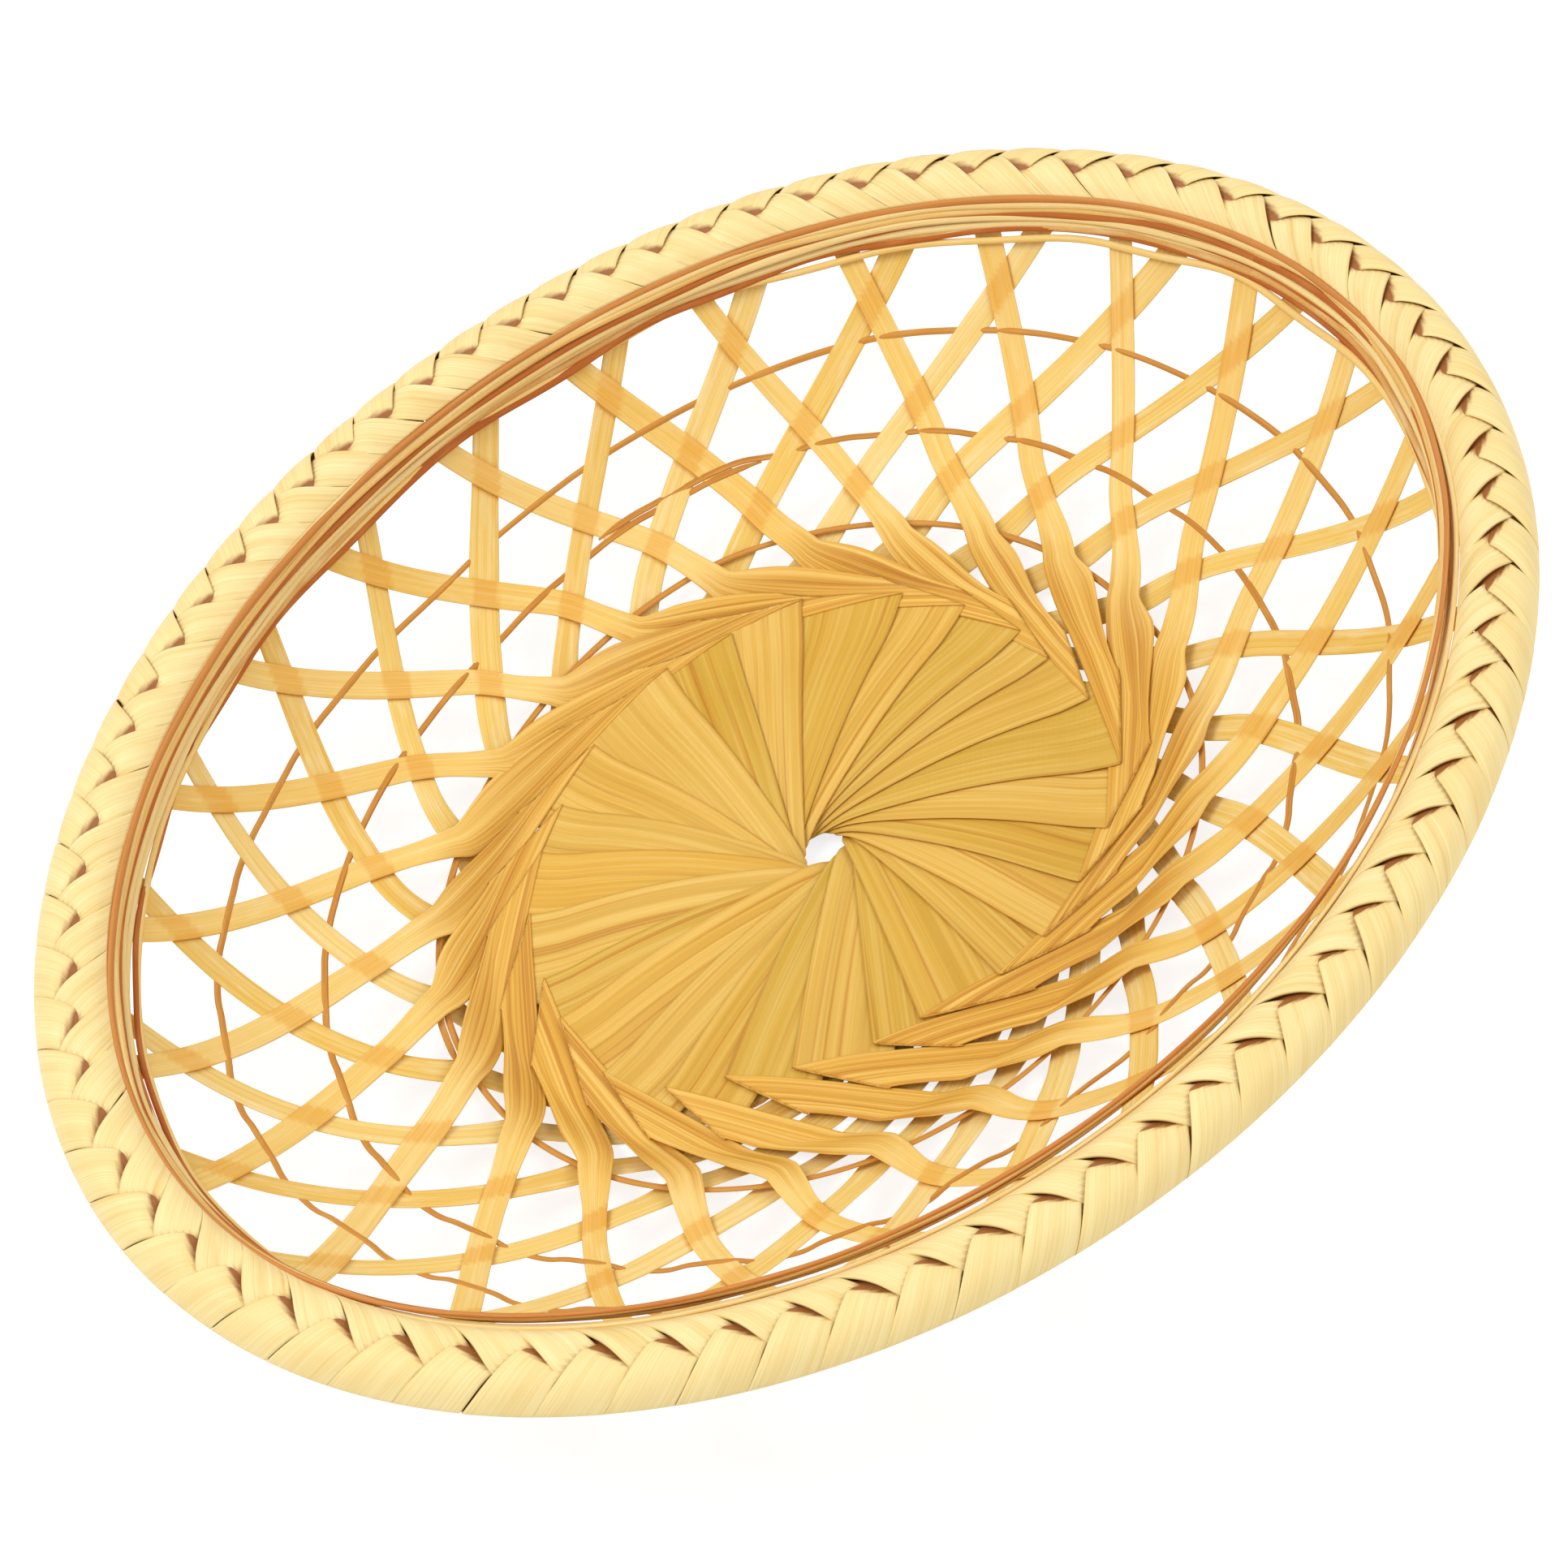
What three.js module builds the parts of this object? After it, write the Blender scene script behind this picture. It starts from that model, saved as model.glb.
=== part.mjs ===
// Oval bread basket of split bamboo, in millimetres, +Z up, standing on z = 0.
// Twenty-five flat stakes cross in a pinwheel that makes the base. Each stake leaves the base at
// both ends, turns along the edge of the base and climbs the wall on a slant. The heads climb
// anticlockwise inside, the tails climb clockwise outside, and together they make the lattice.
// Three thin hoops hold the lattice, and a three-strand plait folds over the rim.
import * as THREE from "three";

// Counts
const STAKES = 25;
const PLAIT_STRANDS = 3;
const RIM_STRANDS = 3;

// The oval rim, along the ridge of the plait
const RIDGE_HALF_LENGTH = 119.2;
const RIDGE_HALF_WIDTH = 92.8;
const RIDGE_HEIGHT = 41.2;

// The oval edge of the base, where the wall begins
const BASE_HALF_LENGTH = 66;
const BASE_HALF_WIDTH = 54.4;
const WALL_FOOT_HEIGHT = 5.5;

// Base pinwheel. An inset is a distance inside the edge of the base, along the long axis. The
// direction of a stake is the oval angle at which its head sets out.
const FIRST_DIRECTION = 1.2;
const HOLE_RADIUS = 4;
const BLADE_WIDTH = 13;
const BLADE_THICKNESS = 0.26;
const LAYER_PITCH = 0.48;
const HEAD_TAIL_HALF_GAP = 0.35;
const STACK_INSET = 21;
const DOME_RADIUS = 20;
const DOME_HEIGHT = 2.3;
const SEAT_INNER_INSET = 16;
const SEAT_OUTER_INSET = 9;
const SEAT_THICKNESS = 0.5;

// Swirl of the heads: each blade folds over itself along a line from its tip and leaves as a
// straight band that lies on it.
const FOLD_TIP_INSET = 16.2;
const FOLD_FAR_INSET = 11.8;
const FOLD_FAR_ANGLE = 16.6;
const FOLD_DEPTH = 0.35;
const BAND_AIM_ANGLE = 11.2;
const BAND_SQUARE_AT = 19;
const HEAD_BAND_WIDTH = 4.4;
const SWIRL_PITCH = 0.9;
const FAR_ANGLE_PER_MM = 1.5;
const SWIRL_BLEND_INSET = 9;
const SWIRL_BLEND_SPAN = 13;
const EDGE_ANGLE = 47.5;

// Swirl of the tails: each blade gathers into a band that turns earlier
const TAIL_BLADE_INSET = 30;
const TAIL_TURN_INSET = 19;
const TAIL_BAND_WIDTH = 4.4;
const TAIL_RIGHT_CORNER_INSET = 19;
const TAIL_RIGHT_CORNER_IN = -1;
const TAIL_LEFT_CORNER_INSET = 24.9;
const TAIL_LEFT_CORNER_IN = 7.6;
const TAIL_TURN_ANGLE = 20;
const TAIL_TURN_EASE_ANGLE = 11;
const TAIL_FAR_ANGLE_PER_MM = 0.63;

// Lattice wall, which ends in the hollow under the plait
const STRIP_WIDTH = 4.2;
const STRIP_THICKNESS = 0.4;
const CROSSING_GAP = 0.2;
const CLIMB_ANGLE = 32.7;
const CLIMB_EASE_ANGLE = 7.8;
const WALL_LINEAR_SHARE = 0.446;
const WALL_BLEND = 4;
const TUCK_SETBACK = 2.8;
const TUCK_DROP = 3.9;

// Hoops
const HOOP_RADIUS = 0.35;
const HOOP_GAP = 0.25;
const LOWER_HOOP_RISE = 1;
const LOWER_HOOP_ROOM = 0.8;
const LOWER_HOOP_ROOM_SPREAD = 5;
const HOOP_ROWS = { middle: -4.5, upper: -3.4 };

// Rim
const CORE_RADIUS = 2.5;
const CORE_OUTWARD = 1.1;
const CORE_DROP = 4.3;
const RIM_STRAND_RADIUS = 0.6;
const RIM_STRAND_STEP = 1.3;
const RIM_STRANDS_SETBACK = 3.8;
const PLAIT_ARCH_RADIUS = 5.6;
const PLAIT_REACH = 5.5;
const PLAIT_STRAND_WIDTH = 4.2;
const PLAIT_STRAND_THICKNESS = 0.5;
const PLAIT_LIFT = 0.76;
const PLAIT_LEVEL_RATIO = 2.2;

// Places that follow from the sizes
const DEGREE = Math.PI / 180;
const PITCH_ANGLE = 360 / STAKES;
const BASE_RATIO = BASE_HALF_WIDTH / BASE_HALF_LENGTH;
const LATTICE_TOP = RIDGE_HALF_LENGTH - TUCK_SETBACK;
const LATTICE_TOP_RATIO = (RIDGE_HALF_WIDTH - TUCK_SETBACK) / LATTICE_TOP;
const LATTICE_TOP_HEIGHT = RIDGE_HEIGHT - TUCK_DROP;
const WALL_SPAN = LATTICE_TOP - BASE_HALF_LENGTH;
const WALL_RISE = LATTICE_TOP_HEIGHT - WALL_FOOT_HEIGHT;
const STACK_RADIUS = HOLE_RADIUS + BLADE_WIDTH;
const STACK_END = BASE_HALF_LENGTH - STACK_INSET;
const STACK_END_ANGLE = Math.asin(STACK_RADIUS / STACK_END) / DEGREE;
const SEAT_INNER = BASE_HALF_LENGTH - SEAT_INNER_INSET;
const SEAT_OUTER = BASE_HALF_LENGTH - SEAT_OUTER_INSET;
const FOLD_TIP = BASE_HALF_LENGTH - FOLD_TIP_INSET;
const FOLD_FAR = BASE_HALF_LENGTH - FOLD_FAR_INSET;
const SWIRL_BLEND_START = BASE_HALF_LENGTH - SWIRL_BLEND_INSET;
const SWIRL_BLEND_END = SWIRL_BLEND_START + SWIRL_BLEND_SPAN;
const TAIL_TURN = BASE_HALF_LENGTH - TAIL_TURN_INSET;
const WALL_BLEND_START = BASE_HALF_LENGTH - WALL_BLEND;
const WALL_BLEND_END = BASE_HALF_LENGTH + WALL_BLEND;
const LOWER_HOOP_AT = BASE_HALF_LENGTH + LOWER_HOOP_RISE;

// Where the sections lie: along the blade in hole radii, on a head as shares of the way to its fold
// and along its straight band and then as insets, on a tail by share of its gather's curve and of
// the turn's inset, on the wall as a share of its span, and along the plait in degrees of a strand's
// swing, in pairs where the strand changes level.
const BLADE_STATIONS = [0, 0.6, 1.5, 2.9, 6.5];
const HEAD_BLADE_SHARES = [0.7];
const HEAD_BAND_SHARES = [0.5, 1];
const HEAD_EDGE_INSETS = [6, 1.5];
const GATHER_STATIONS = [0.27, 0.5];
const TAIL_SWIRL_STATIONS = [0.97, 0.77, 0.52, 0.2];
const WALL_STATIONS = [0.06, 0.23, 0.4, 0.6, 0.8, 1];
const PLAIT_BEATS = [14, 64, 116, 166, 194, 244, 296, 346];
const RING_STEPS = 40;
const HOOP_SIDES = 4;
const CORE_SIDES = 6;
const RIDGE_TABLE_STEPS = 3600;

const clamp01 = (t) => Math.min(1, Math.max(0, t));
const mix = (a, b, t) => a + (b - a) * t;
const ramp = (from, to, x) => {
  const t = clamp01((x - from) / (to - from));
  return t * t * (3 - 2 * t);
};

// Half-width over half-length of the oval at a given distance along the long axis.
function ovalRatio(r) {
  return mix(BASE_RATIO, LATTICE_TOP_RATIO, Math.max(0, (r - BASE_HALF_LENGTH) / WALL_SPAN));
}

// Height of the surface midway between heads and tails.
function middleHeight(r) {
  const seatHeight = HEAD_TAIL_HALF_GAP + SEAT_THICKNESS / 2;
  if (r <= SEAT_OUTER) {
    const t = clamp01((r - DOME_RADIUS) / (SEAT_INNER - DOME_RADIUS));
    return seatHeight + DOME_HEIGHT * (1 - t * t);
  }
  if (r >= BASE_HALF_LENGTH) {
    const u = (r - BASE_HALF_LENGTH) / WALL_SPAN;
    return WALL_FOOT_HEIGHT + WALL_RISE * (WALL_LINEAR_SHARE * u + (1 - WALL_LINEAR_SHARE) * u ** 3);
  }
  const t = (r - SEAT_OUTER) / SEAT_OUTER_INSET;
  const endSlope = (WALL_RISE * WALL_LINEAR_SHARE * SEAT_OUTER_INSET) / WALL_SPAN;
  return (
    seatHeight * (2 * t ** 3 - 3 * t * t + 1) +
    WALL_FOOT_HEIGHT * (3 * t * t - 2 * t ** 3) +
    endSlope * (t ** 3 - t * t)
  );
}

// Point of that surface at a distance r along the long axis and an oval angle in degrees.
function surfacePoint(r, angle) {
  const a = angle * DEGREE;
  return new THREE.Vector3(r * Math.cos(a), r * ovalRatio(r) * Math.sin(a), middleHeight(r));
}

// Unit normal of the surface, up in the base and inwards on the wall.
function surfaceNormal(r, angle) {
  if (r < SEAT_OUTER) return new THREE.Vector3(0, 0, 1);
  const step = 0.01;
  const outward = surfacePoint(r + step, angle).sub(surfacePoint(r - step, angle));
  const around = surfacePoint(r, angle + step).sub(surfacePoint(r, angle - step));
  return outward.cross(around).normalize();
}

// Oval angle of the middle of a strip on the wall, from the stake's own direction.
function climbAngle(r) {
  const w = (r - BASE_HALF_LENGTH) / WALL_SPAN;
  return EDGE_ANGLE + CLIMB_ANGLE * w - (w > 0 ? CLIMB_EASE_ANGLE * w * w : 0);
}

// Largest angle that a strip reaches at distance r, from the stake's own direction. Inside the
// stack it stays at the value that the blade has at its end.
function farAngle(r, head) {
  const rate = head ? FAR_ANGLE_PER_MM : TAIL_FAR_ANGLE_PER_MM;
  return STACK_END_ANGLE + rate * Math.max(0, r - STACK_END);
}

// Half the distance between the head layer and the tail layer. The layers part at the stack in
// the middle and again for the lower hoop.
function halfGap(r) {
  const full = (LAYER_PITCH * (90 - STACK_END_ANGLE)) / PITCH_ANGLE;
  if (r <= STACK_END) {
    const t = clamp01((r - STACK_RADIUS) / (STACK_END - STACK_RADIUS));
    return mix(full, HEAD_TAIL_HALF_GAP, t * t);
  }
  const crossing = (STRIP_THICKNESS + CROSSING_GAP) / 2;
  const even = mix(HEAD_TAIL_HALF_GAP, crossing, ramp(SEAT_OUTER, BASE_HALF_LENGTH + SEAT_OUTER_INSET, r));
  return even + LOWER_HOOP_ROOM * Math.exp(-(((r - LOWER_HOOP_AT) / LOWER_HOOP_ROOM_SPREAD) ** 2));
}

// Distance of a stake's middle from the surface, up for heads and down for tails. Each stake lies
// over its clockwise neighbour and under its anticlockwise one, so it falls with the angle. A share
// of one layer is added where a head lies folded over its own blade.
function layerOffset(r, angle, layers = 0) {
  const head = angle <= 90;
  const fromDirection = head ? angle : 180 - angle;
  const fade = head ? ramp(SWIRL_BLEND_START, SWIRL_BLEND_END, r) : ramp(TAIL_TURN, SEAT_INNER, r);
  const pitch = head ? mix(LAYER_PITCH, SWIRL_PITCH, ramp(STACK_END, FOLD_TIP, r)) : LAYER_PITCH;
  const count = (farAngle(r, head) - fromDirection) / PITCH_ANGLE + layers;
  const offset = halfGap(r) + pitch * (1 - fade) * count;
  return head ? offset : -offset;
}

// A closed body through a list of four-cornered sections, with capped ends or closed to a ring.
// Sections run right, left on top and left, right below. Each span is split the same way above and
// below: up to the section numbered turnAt from left to right, and after it from right to left.
function sweep(sections, ring, turnAt = 0) {
  const positions = [];
  const indices = [];
  const sides = sections[0].length;
  for (const section of sections) {
    for (const p of section) positions.push(p.x, p.y, p.z);
  }
  const spans = ring ? sections.length : sections.length - 1;
  for (let i = 0; i < spans; i++) {
    const here = i * sides;
    const next = ((i + 1) % sections.length) * sides;
    for (let k = 0; k < sides; k++) {
      const l = (k + 1) % sides;
      const top = k < sides / 2;
      if (i < turnAt === top) {
        indices.push(here + k, next + k, here + l);
        indices.push(here + l, next + k, next + l);
      } else {
        indices.push(here + k, next + k, next + l);
        indices.push(here + k, next + l, here + l);
      }
    }
  }
  if (!ring) {
    const last = (sections.length - 1) * sides;
    for (let k = 1; k < sides - 1; k++) {
      indices.push(0, k, k + 1);
      indices.push(last, last + k + 1, last + k);
    }
  }
  const geometry = new THREE.BufferGeometry();
  geometry.setAttribute("position", new THREE.Float32BufferAttribute(positions, 3));
  geometry.setIndex(indices);
  geometry.computeVertexNormals();
  return geometry;
}

// One section of a stake between its right edge and its left edge. Each edge is a distance r and an
// angle from the stake's own direction. Turned is 0 as the blade lies, 1 upside down on it, and a
// half in the fold between them, where the section stands on edge.
function stakeSection(direction, right, left, thickness, { seated = false, turned = 0 }) {
  const corners = [];
  const ends = [right, left].map(([r, angle]) => surfacePoint(r, direction + angle).setZ(0));
  const along = ends[1].clone().sub(ends[0]);
  const outward = new THREE.Vector3(along.y, -along.x, 0).normalize();
  for (const side of [1, -1]) {
    for (const [r, angle] of side > 0 ? [right, left] : [left, right]) {
      const normal = surfaceNormal(r, direction + angle);
      const p = surfacePoint(r, direction + angle);
      p.addScaledVector(normal, layerOffset(r, angle, turned / 2));
      if (turned === 0.5) p.addScaledVector(outward, (side * thickness) / 2);
      else p.addScaledVector(normal, ((turned ? -side : side) * thickness) / 2);
      if (seated) p.z = side > 0 ? SEAT_THICKNESS : 0;
      corners.push(p);
    }
  }
  return corners;
}

// Edges of a band of the given real width, square to its path at distance r: right, then left.
function bandEdges(direction, end, r, width) {
  const step = 0.05;
  const angleAt = (x) => direction + end.turn(end.middleAngle(x));
  const here = surfacePoint(r, angleAt(r));
  const ahead = surfacePoint(r + step, angleAt(r + step)).sub(here).normalize();
  const across = surfaceNormal(r, angleAt(r)).cross(ahead).normalize();
  const alongR = surfacePoint(r + step, angleAt(r)).sub(here).divideScalar(step);
  const alongAngle = surfacePoint(r, angleAt(r) + step).sub(here).divideScalar(step);
  // Solve across = dr * alongR + da * alongAngle in the surface.
  const rr = alongR.dot(alongR);
  const ra = alongR.dot(alongAngle);
  const aa = alongAngle.dot(alongAngle);
  const determinant = rr * aa - ra * ra;
  const br = across.dot(alongR);
  const ba = across.dot(alongAngle);
  const dr = (br * aa - ba * ra) / determinant;
  const da = (ba * rr - br * ra) / determinant;
  const half = width / 2;
  const edge = (side) => [r + side * end.sense * half * dr, end.middleAngle(r) + side * half * da];
  return [edge(-1), edge(1)];
}

const flat = ([r, angle]) => [r * Math.cos(angle * DEGREE), r * Math.sin(angle * DEGREE)];
const polar = (x, y) => [Math.hypot(x, y), Math.atan2(y, x) / DEGREE];

// A tail turns earlier than a head, so that its bands lie side by side where the basket stands.
function tailAngle(r) {
  if (r >= BASE_HALF_LENGTH) return climbAngle(r);
  const t = (BASE_HALF_LENGTH - r) / TAIL_TURN_INSET;
  return EDGE_ANGLE - TAIL_TURN_ANGLE * t - TAIL_TURN_EASE_ANGLE * t * t;
}

// Thickness of a stake at distance r.
function stakeThickness(r) {
  return mix(BLADE_THICKNESS, STRIP_THICKNESS, ramp(WALL_BLEND_START, WALL_BLEND_END, r));
}

const wallRadii = WALL_STATIONS.map((share) => BASE_HALF_LENGTH + share * WALL_SPAN);

// Edges are worked out as for a head, and a tail's are then mirrored. The corners of the gathered
// part are flat points that its two edges bend towards.
const TAIL = {
  turn: (angle) => 180 - angle,
  sense: -1,
  middleAngle: tailAngle,
  bladeEnd: BASE_HALF_LENGTH - TAIL_BLADE_INSET,
  rightCorner: [BASE_HALF_LENGTH - TAIL_RIGHT_CORNER_INSET, HOLE_RADIUS + TAIL_RIGHT_CORNER_IN],
  leftCorner: [BASE_HALF_LENGTH - TAIL_LEFT_CORNER_INSET, STACK_RADIUS - TAIL_LEFT_CORNER_IN],
  swirl: TAIL_SWIRL_STATIONS.map((share) => BASE_HALF_LENGTH - share * TAIL_TURN_INSET),
};

// Sections of a tail from the middle of the base to the rim.
function tailSections(direction) {
  const band = [...TAIL.swirl, ...wallRadii].map((r) => {
    const width = mix(TAIL_BAND_WIDTH, STRIP_WIDTH, ramp(WALL_BLEND_START, WALL_BLEND_END, r));
    return { r, edges: bandEdges(direction, TAIL, r, width) };
  });
  const blade = [...BLADE_STATIONS.map((share) => share * HOLE_RADIUS), TAIL.bladeEnd].map((x) => ({
    r: x,
    edges: [polar(x, HOLE_RADIUS), polar(x, STACK_RADIUS)],
  }));
  const gather = GATHER_STATIONS.map((t) => {
    const bend = (y, corner, edge) => {
      const [x1, y1] = flat(edge);
      const weight = (a, b, c) => a * (1 - t) ** 2 + 2 * b * t * (1 - t) + c * t * t;
      return polar(weight(TAIL.bladeEnd, corner[0], x1), weight(y, corner[1], y1));
    };
    const [right, left] = band[0].edges;
    const edges = [bend(HOLE_RADIUS, TAIL.rightCorner, right), bend(STACK_RADIUS, TAIL.leftCorner, left)];
    return { r: TAIL.bladeEnd, edges };
  });
  return [...blade, ...gather, ...band].map(({ r, edges }) => {
    const [right, left] = edges.map(([edgeR, angle]) => [edgeR, TAIL.turn(angle)]);
    const seated = r > SEAT_INNER && r < SEAT_OUTER;
    return stakeSection(direction, right, left, stakeThickness(r), { seated });
  });
}

// Where a head's fold begins and ends, as flat points from the stake's own direction.
const foldTip = flat([FOLD_TIP, Math.asin(HOLE_RADIUS / FOLD_TIP) / DEGREE]);
const foldFar = flat([FOLD_FAR, FOLD_FAR_ANGLE]);

// Distance along and across the line of a straight band, and back to a flat point.
const aim = [Math.cos(BAND_AIM_ANGLE * DEGREE), Math.sin(BAND_AIM_ANGLE * DEGREE)];
const toLine = ([x, y]) => [y * aim[0] - x * aim[1], x * aim[0] + y * aim[1]];
const fromLine = (along, across) => [across * aim[0] - along * aim[1], across * aim[1] + along * aim[0]];
const [tipAlong, tipAcross] = toLine(foldTip);
const [farAlong, farAcross] = toLine(foldFar);

// Oval angle of the middle of a head, which leaves the straight line of its band on the wall.
function headAngle(r) {
  const line = BAND_AIM_ANGLE + Math.acos((tipAcross + farAcross) / 2 / r) / DEGREE;
  return mix(line, climbAngle(r), ramp(SWIRL_BLEND_START, SWIRL_BLEND_END, r));
}

const HEAD = { turn: (angle) => angle, sense: 1, middleAngle: headAngle };

// Sections of a head from the middle of the base to the rim. Behind the fold the strip lies upside
// down, and its right edge has become the inner one.
function headSections(direction) {
  const sections = [];
  const add = (right, left, turned, r = 0) => {
    const edges = [polar(...right), polar(...left)];
    sections.push(stakeSection(direction, ...edges, stakeThickness(r), { turned }));
  };
  for (const share of BLADE_STATIONS) {
    const x = share * HOLE_RADIUS;
    add([x, HOLE_RADIUS], [x, STACK_RADIUS], 0);
  }
  const between = (a, b, t) => [mix(a[0], b[0], t), mix(a[1], b[1], t)];
  const inside = ([x, y]) => [x - FOLD_DEPTH, y];
  for (const t of [...HEAD_BLADE_SHARES, 1]) {
    const right = between([0, HOLE_RADIUS], inside(foldTip), t);
    const left = between([0, STACK_RADIUS], inside(foldFar), t);
    add(right, left, 0);
  }
  add(foldTip, foldFar, 0.5);
  add(inside(foldTip), inside(foldFar), 1);
  for (const t of HEAD_BAND_SHARES) {
    const right = fromLine(mix(tipAlong, BAND_SQUARE_AT, t), tipAcross);
    const left = fromLine(mix(farAlong, BAND_SQUARE_AT, t), farAcross);
    add(right, left, 1);
  }
  for (const r of [...HEAD_EDGE_INSETS.map((inset) => BASE_HALF_LENGTH - inset), ...wallRadii]) {
    const width = mix(HEAD_BAND_WIDTH, STRIP_WIDTH, ramp(WALL_BLEND_START, WALL_BLEND_END, r));
    const [outer, inner] = bandEdges(direction, HEAD, r, width).map(flat);
    add(inner, outer, 1, r);
  }
  return sections;
}

function makeStake(index) {
  const direction = FIRST_DIRECTION + index * PITCH_ANGLE;
  const tail = tailSections(direction).slice(1);
  const head = headSections(direction);
  return sweep([...tail.reverse(), ...head], false, tail.length);
}

// A ring at distance r that runs between the layers, where the stakes part for it.
function makeLayerHoop(r) {
  const sections = [];
  for (let i = 0; i < RING_STEPS; i++) {
    const angle = (360 * i) / RING_STEPS;
    sections.push(ringSection(surfacePoint(r, angle), surfaceNormal(r, angle), angle, HOOP_RADIUS));
  }
  return sweep(sections, true);
}

// Corners of a round section in the plane through the ring's axis.
function ringSection(centre, normal, angle, radius) {
  const a = angle * DEGREE;
  const along = new THREE.Vector3(-Math.sin(a), Math.cos(a) * RIDGE_HALF_WIDTH / RIDGE_HALF_LENGTH, 0);
  const side = along.normalize().cross(normal).normalize();
  const corners = [];
  for (let k = 0; k < HOOP_SIDES; k++) {
    const turn = ((k + 0.5) * 2 * Math.PI) / HOOP_SIDES;
    const p = centre.clone();
    p.addScaledVector(side, radius * Math.cos(turn));
    p.addScaledVector(normal, radius * Math.sin(turn));
    corners.push(p);
  }
  return corners;
}

// Distance at which a hoop runs midway between two rows of crossings. Heads and tails cross where
// the climb is a whole number of half pitches short of a quarter turn.
function hoopRadius(row) {
  const wanted = 90 + (row * PITCH_ANGLE) / 2;
  let low = BASE_HALF_LENGTH;
  let high = LATTICE_TOP;
  for (let i = 0; i < 40; i++) {
    const middle = (low + high) / 2;
    if (climbAngle(middle) < wanted) low = middle;
    else high = middle;
  }
  return low;
}

// A hoop that is woven: it passes inside every head and outside every tail.
function makeWovenHoop(r) {
  const sections = [];
  const reach = CROSSING_GAP / 2 + STRIP_THICKNESS + HOOP_GAP + HOOP_RADIUS;
  const headAngle = climbAngle(r);
  const tailAngleHere = 180 - headAngle;
  for (let i = 0; i < STAKES; i++) {
    // Heads and tails take turns along the hoop, so each stake has the next tail after its head.
    const head = FIRST_DIRECTION + i * PITCH_ANGLE + headAngle;
    let tail = FIRST_DIRECTION + tailAngleHere;
    while (tail < head) tail += PITCH_ANGLE;
    while (tail > head + PITCH_ANGLE) tail -= PITCH_ANGLE;
    for (const [middle, lift] of [[head, reach], [tail, -reach]]) {
      for (const side of [-1, 1]) {
        const angle = middle + side * stripHalfAngle(r, middle);
        const centre = surfacePoint(r, angle).addScaledVector(surfaceNormal(r, angle), lift);
        sections.push(ringSection(centre, surfaceNormal(r, angle), angle, HOOP_RADIUS));
      }
    }
  }
  return sweep(sections, true);
}

// Half the angle that a wall strip covers along a ring at distance r.
function stripHalfAngle(r, angle) {
  const step = 0.05;
  const here = surfacePoint(r, angle);
  const up = surfacePoint(r + step, angle + climbAngle(r + step) - climbAngle(r)).sub(here).normalize();
  const around = surfacePoint(r, angle + step).sub(here);
  const perDegree = around.length() / step;
  const sine = up.cross(around.normalize()).length();
  return (STRIP_WIDTH / 2 / sine + HOOP_RADIUS + CROSSING_GAP) / perDegree;
}

// Point and normal of the rim ridge line at a share of the way round, in even steps of length.
const ridgeTable = [];
function ridgeFrame(share) {
  if (ridgeTable.length === 0) {
    let length = 0;
    let before = null;
    for (let i = 0; i <= RIDGE_TABLE_STEPS; i++) {
      const a = (2 * Math.PI * i) / RIDGE_TABLE_STEPS;
      const p = new THREE.Vector2(RIDGE_HALF_LENGTH * Math.cos(a), RIDGE_HALF_WIDTH * Math.sin(a));
      if (before) length += p.distanceTo(before);
      ridgeTable.push([length, a]);
      before = p;
    }
  }
  const wanted = (share - Math.floor(share)) * ridgeTable[ridgeTable.length - 1][0];
  let low = 0;
  let high = ridgeTable.length - 1;
  while (high - low > 1) {
    const mid = (low + high) >> 1;
    if (ridgeTable[mid][0] <= wanted) low = mid;
    else high = mid;
  }
  const [l0, a0] = ridgeTable[low];
  const [l1, a1] = ridgeTable[high];
  const a = mix(a0, a1, (wanted - l0) / (l1 - l0));
  const point = new THREE.Vector3(RIDGE_HALF_LENGTH * Math.cos(a), RIDGE_HALF_WIDTH * Math.sin(a), 0);
  const outward = new THREE.Vector3(RIDGE_HALF_WIDTH * Math.cos(a), RIDGE_HALF_LENGTH * Math.sin(a), 0);
  return { point, outward: outward.normalize() };
}

// Point on the arch of the plait: share of the way round, distance across from the ridge, lift.
function archPoint(share, across, lift) {
  const { point, outward } = ridgeFrame(share);
  const turn = across / PLAIT_ARCH_RADIUS;
  const radius = PLAIT_ARCH_RADIUS + lift;
  point.addScaledVector(outward, radius * Math.sin(turn));
  point.z = RIDGE_HEIGHT - PLAIT_ARCH_RADIUS + radius * Math.cos(turn);
  return point;
}

// One strand of the plait. It swings from edge to edge and lies on top while it runs inwards.
function makePlaitStrand(index) {
  const at = (phase) => {
    const swing = Math.sin(phase * DEGREE);
    const level = -Math.sin(2 * phase * DEGREE) * PLAIT_LEVEL_RATIO;
    return [PLAIT_REACH * swing, PLAIT_LIFT * Math.max(-1, Math.min(1, level))];
  };
  const shareOf = (period, phase) => (period + phase / 360 + index / PLAIT_STRANDS) / STAKES;
  const sections = [];
  for (let period = 0; period < STAKES; period++) {
    for (const phase of PLAIT_BEATS) {
      const point = (shift) => {
        const [across, lift] = at(phase + shift);
        return archPoint(shareOf(period, phase + shift), across, lift);
      };
      const [across, lift] = at(phase);
      const centre = point(0);
      const along = point(4).sub(point(-4)).normalize();
      const share = shareOf(period, phase);
      const normal = archPoint(share, across, lift + 1).sub(centre).normalize();
      const side = normal.clone().cross(along).normalize();
      const up = along.clone().cross(side).normalize();
      const corners = [[-1, 1], [1, 1], [1, -1], [-1, -1]].map(([s, u]) =>
        centre
          .clone()
          .addScaledVector(side, (s * PLAIT_STRAND_WIDTH) / 2)
          .addScaledVector(up, (u * PLAIT_STRAND_THICKNESS) / 2),
      );
      sections.push(corners);
    }
  }
  return sweep(sections, true);
}

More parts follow.
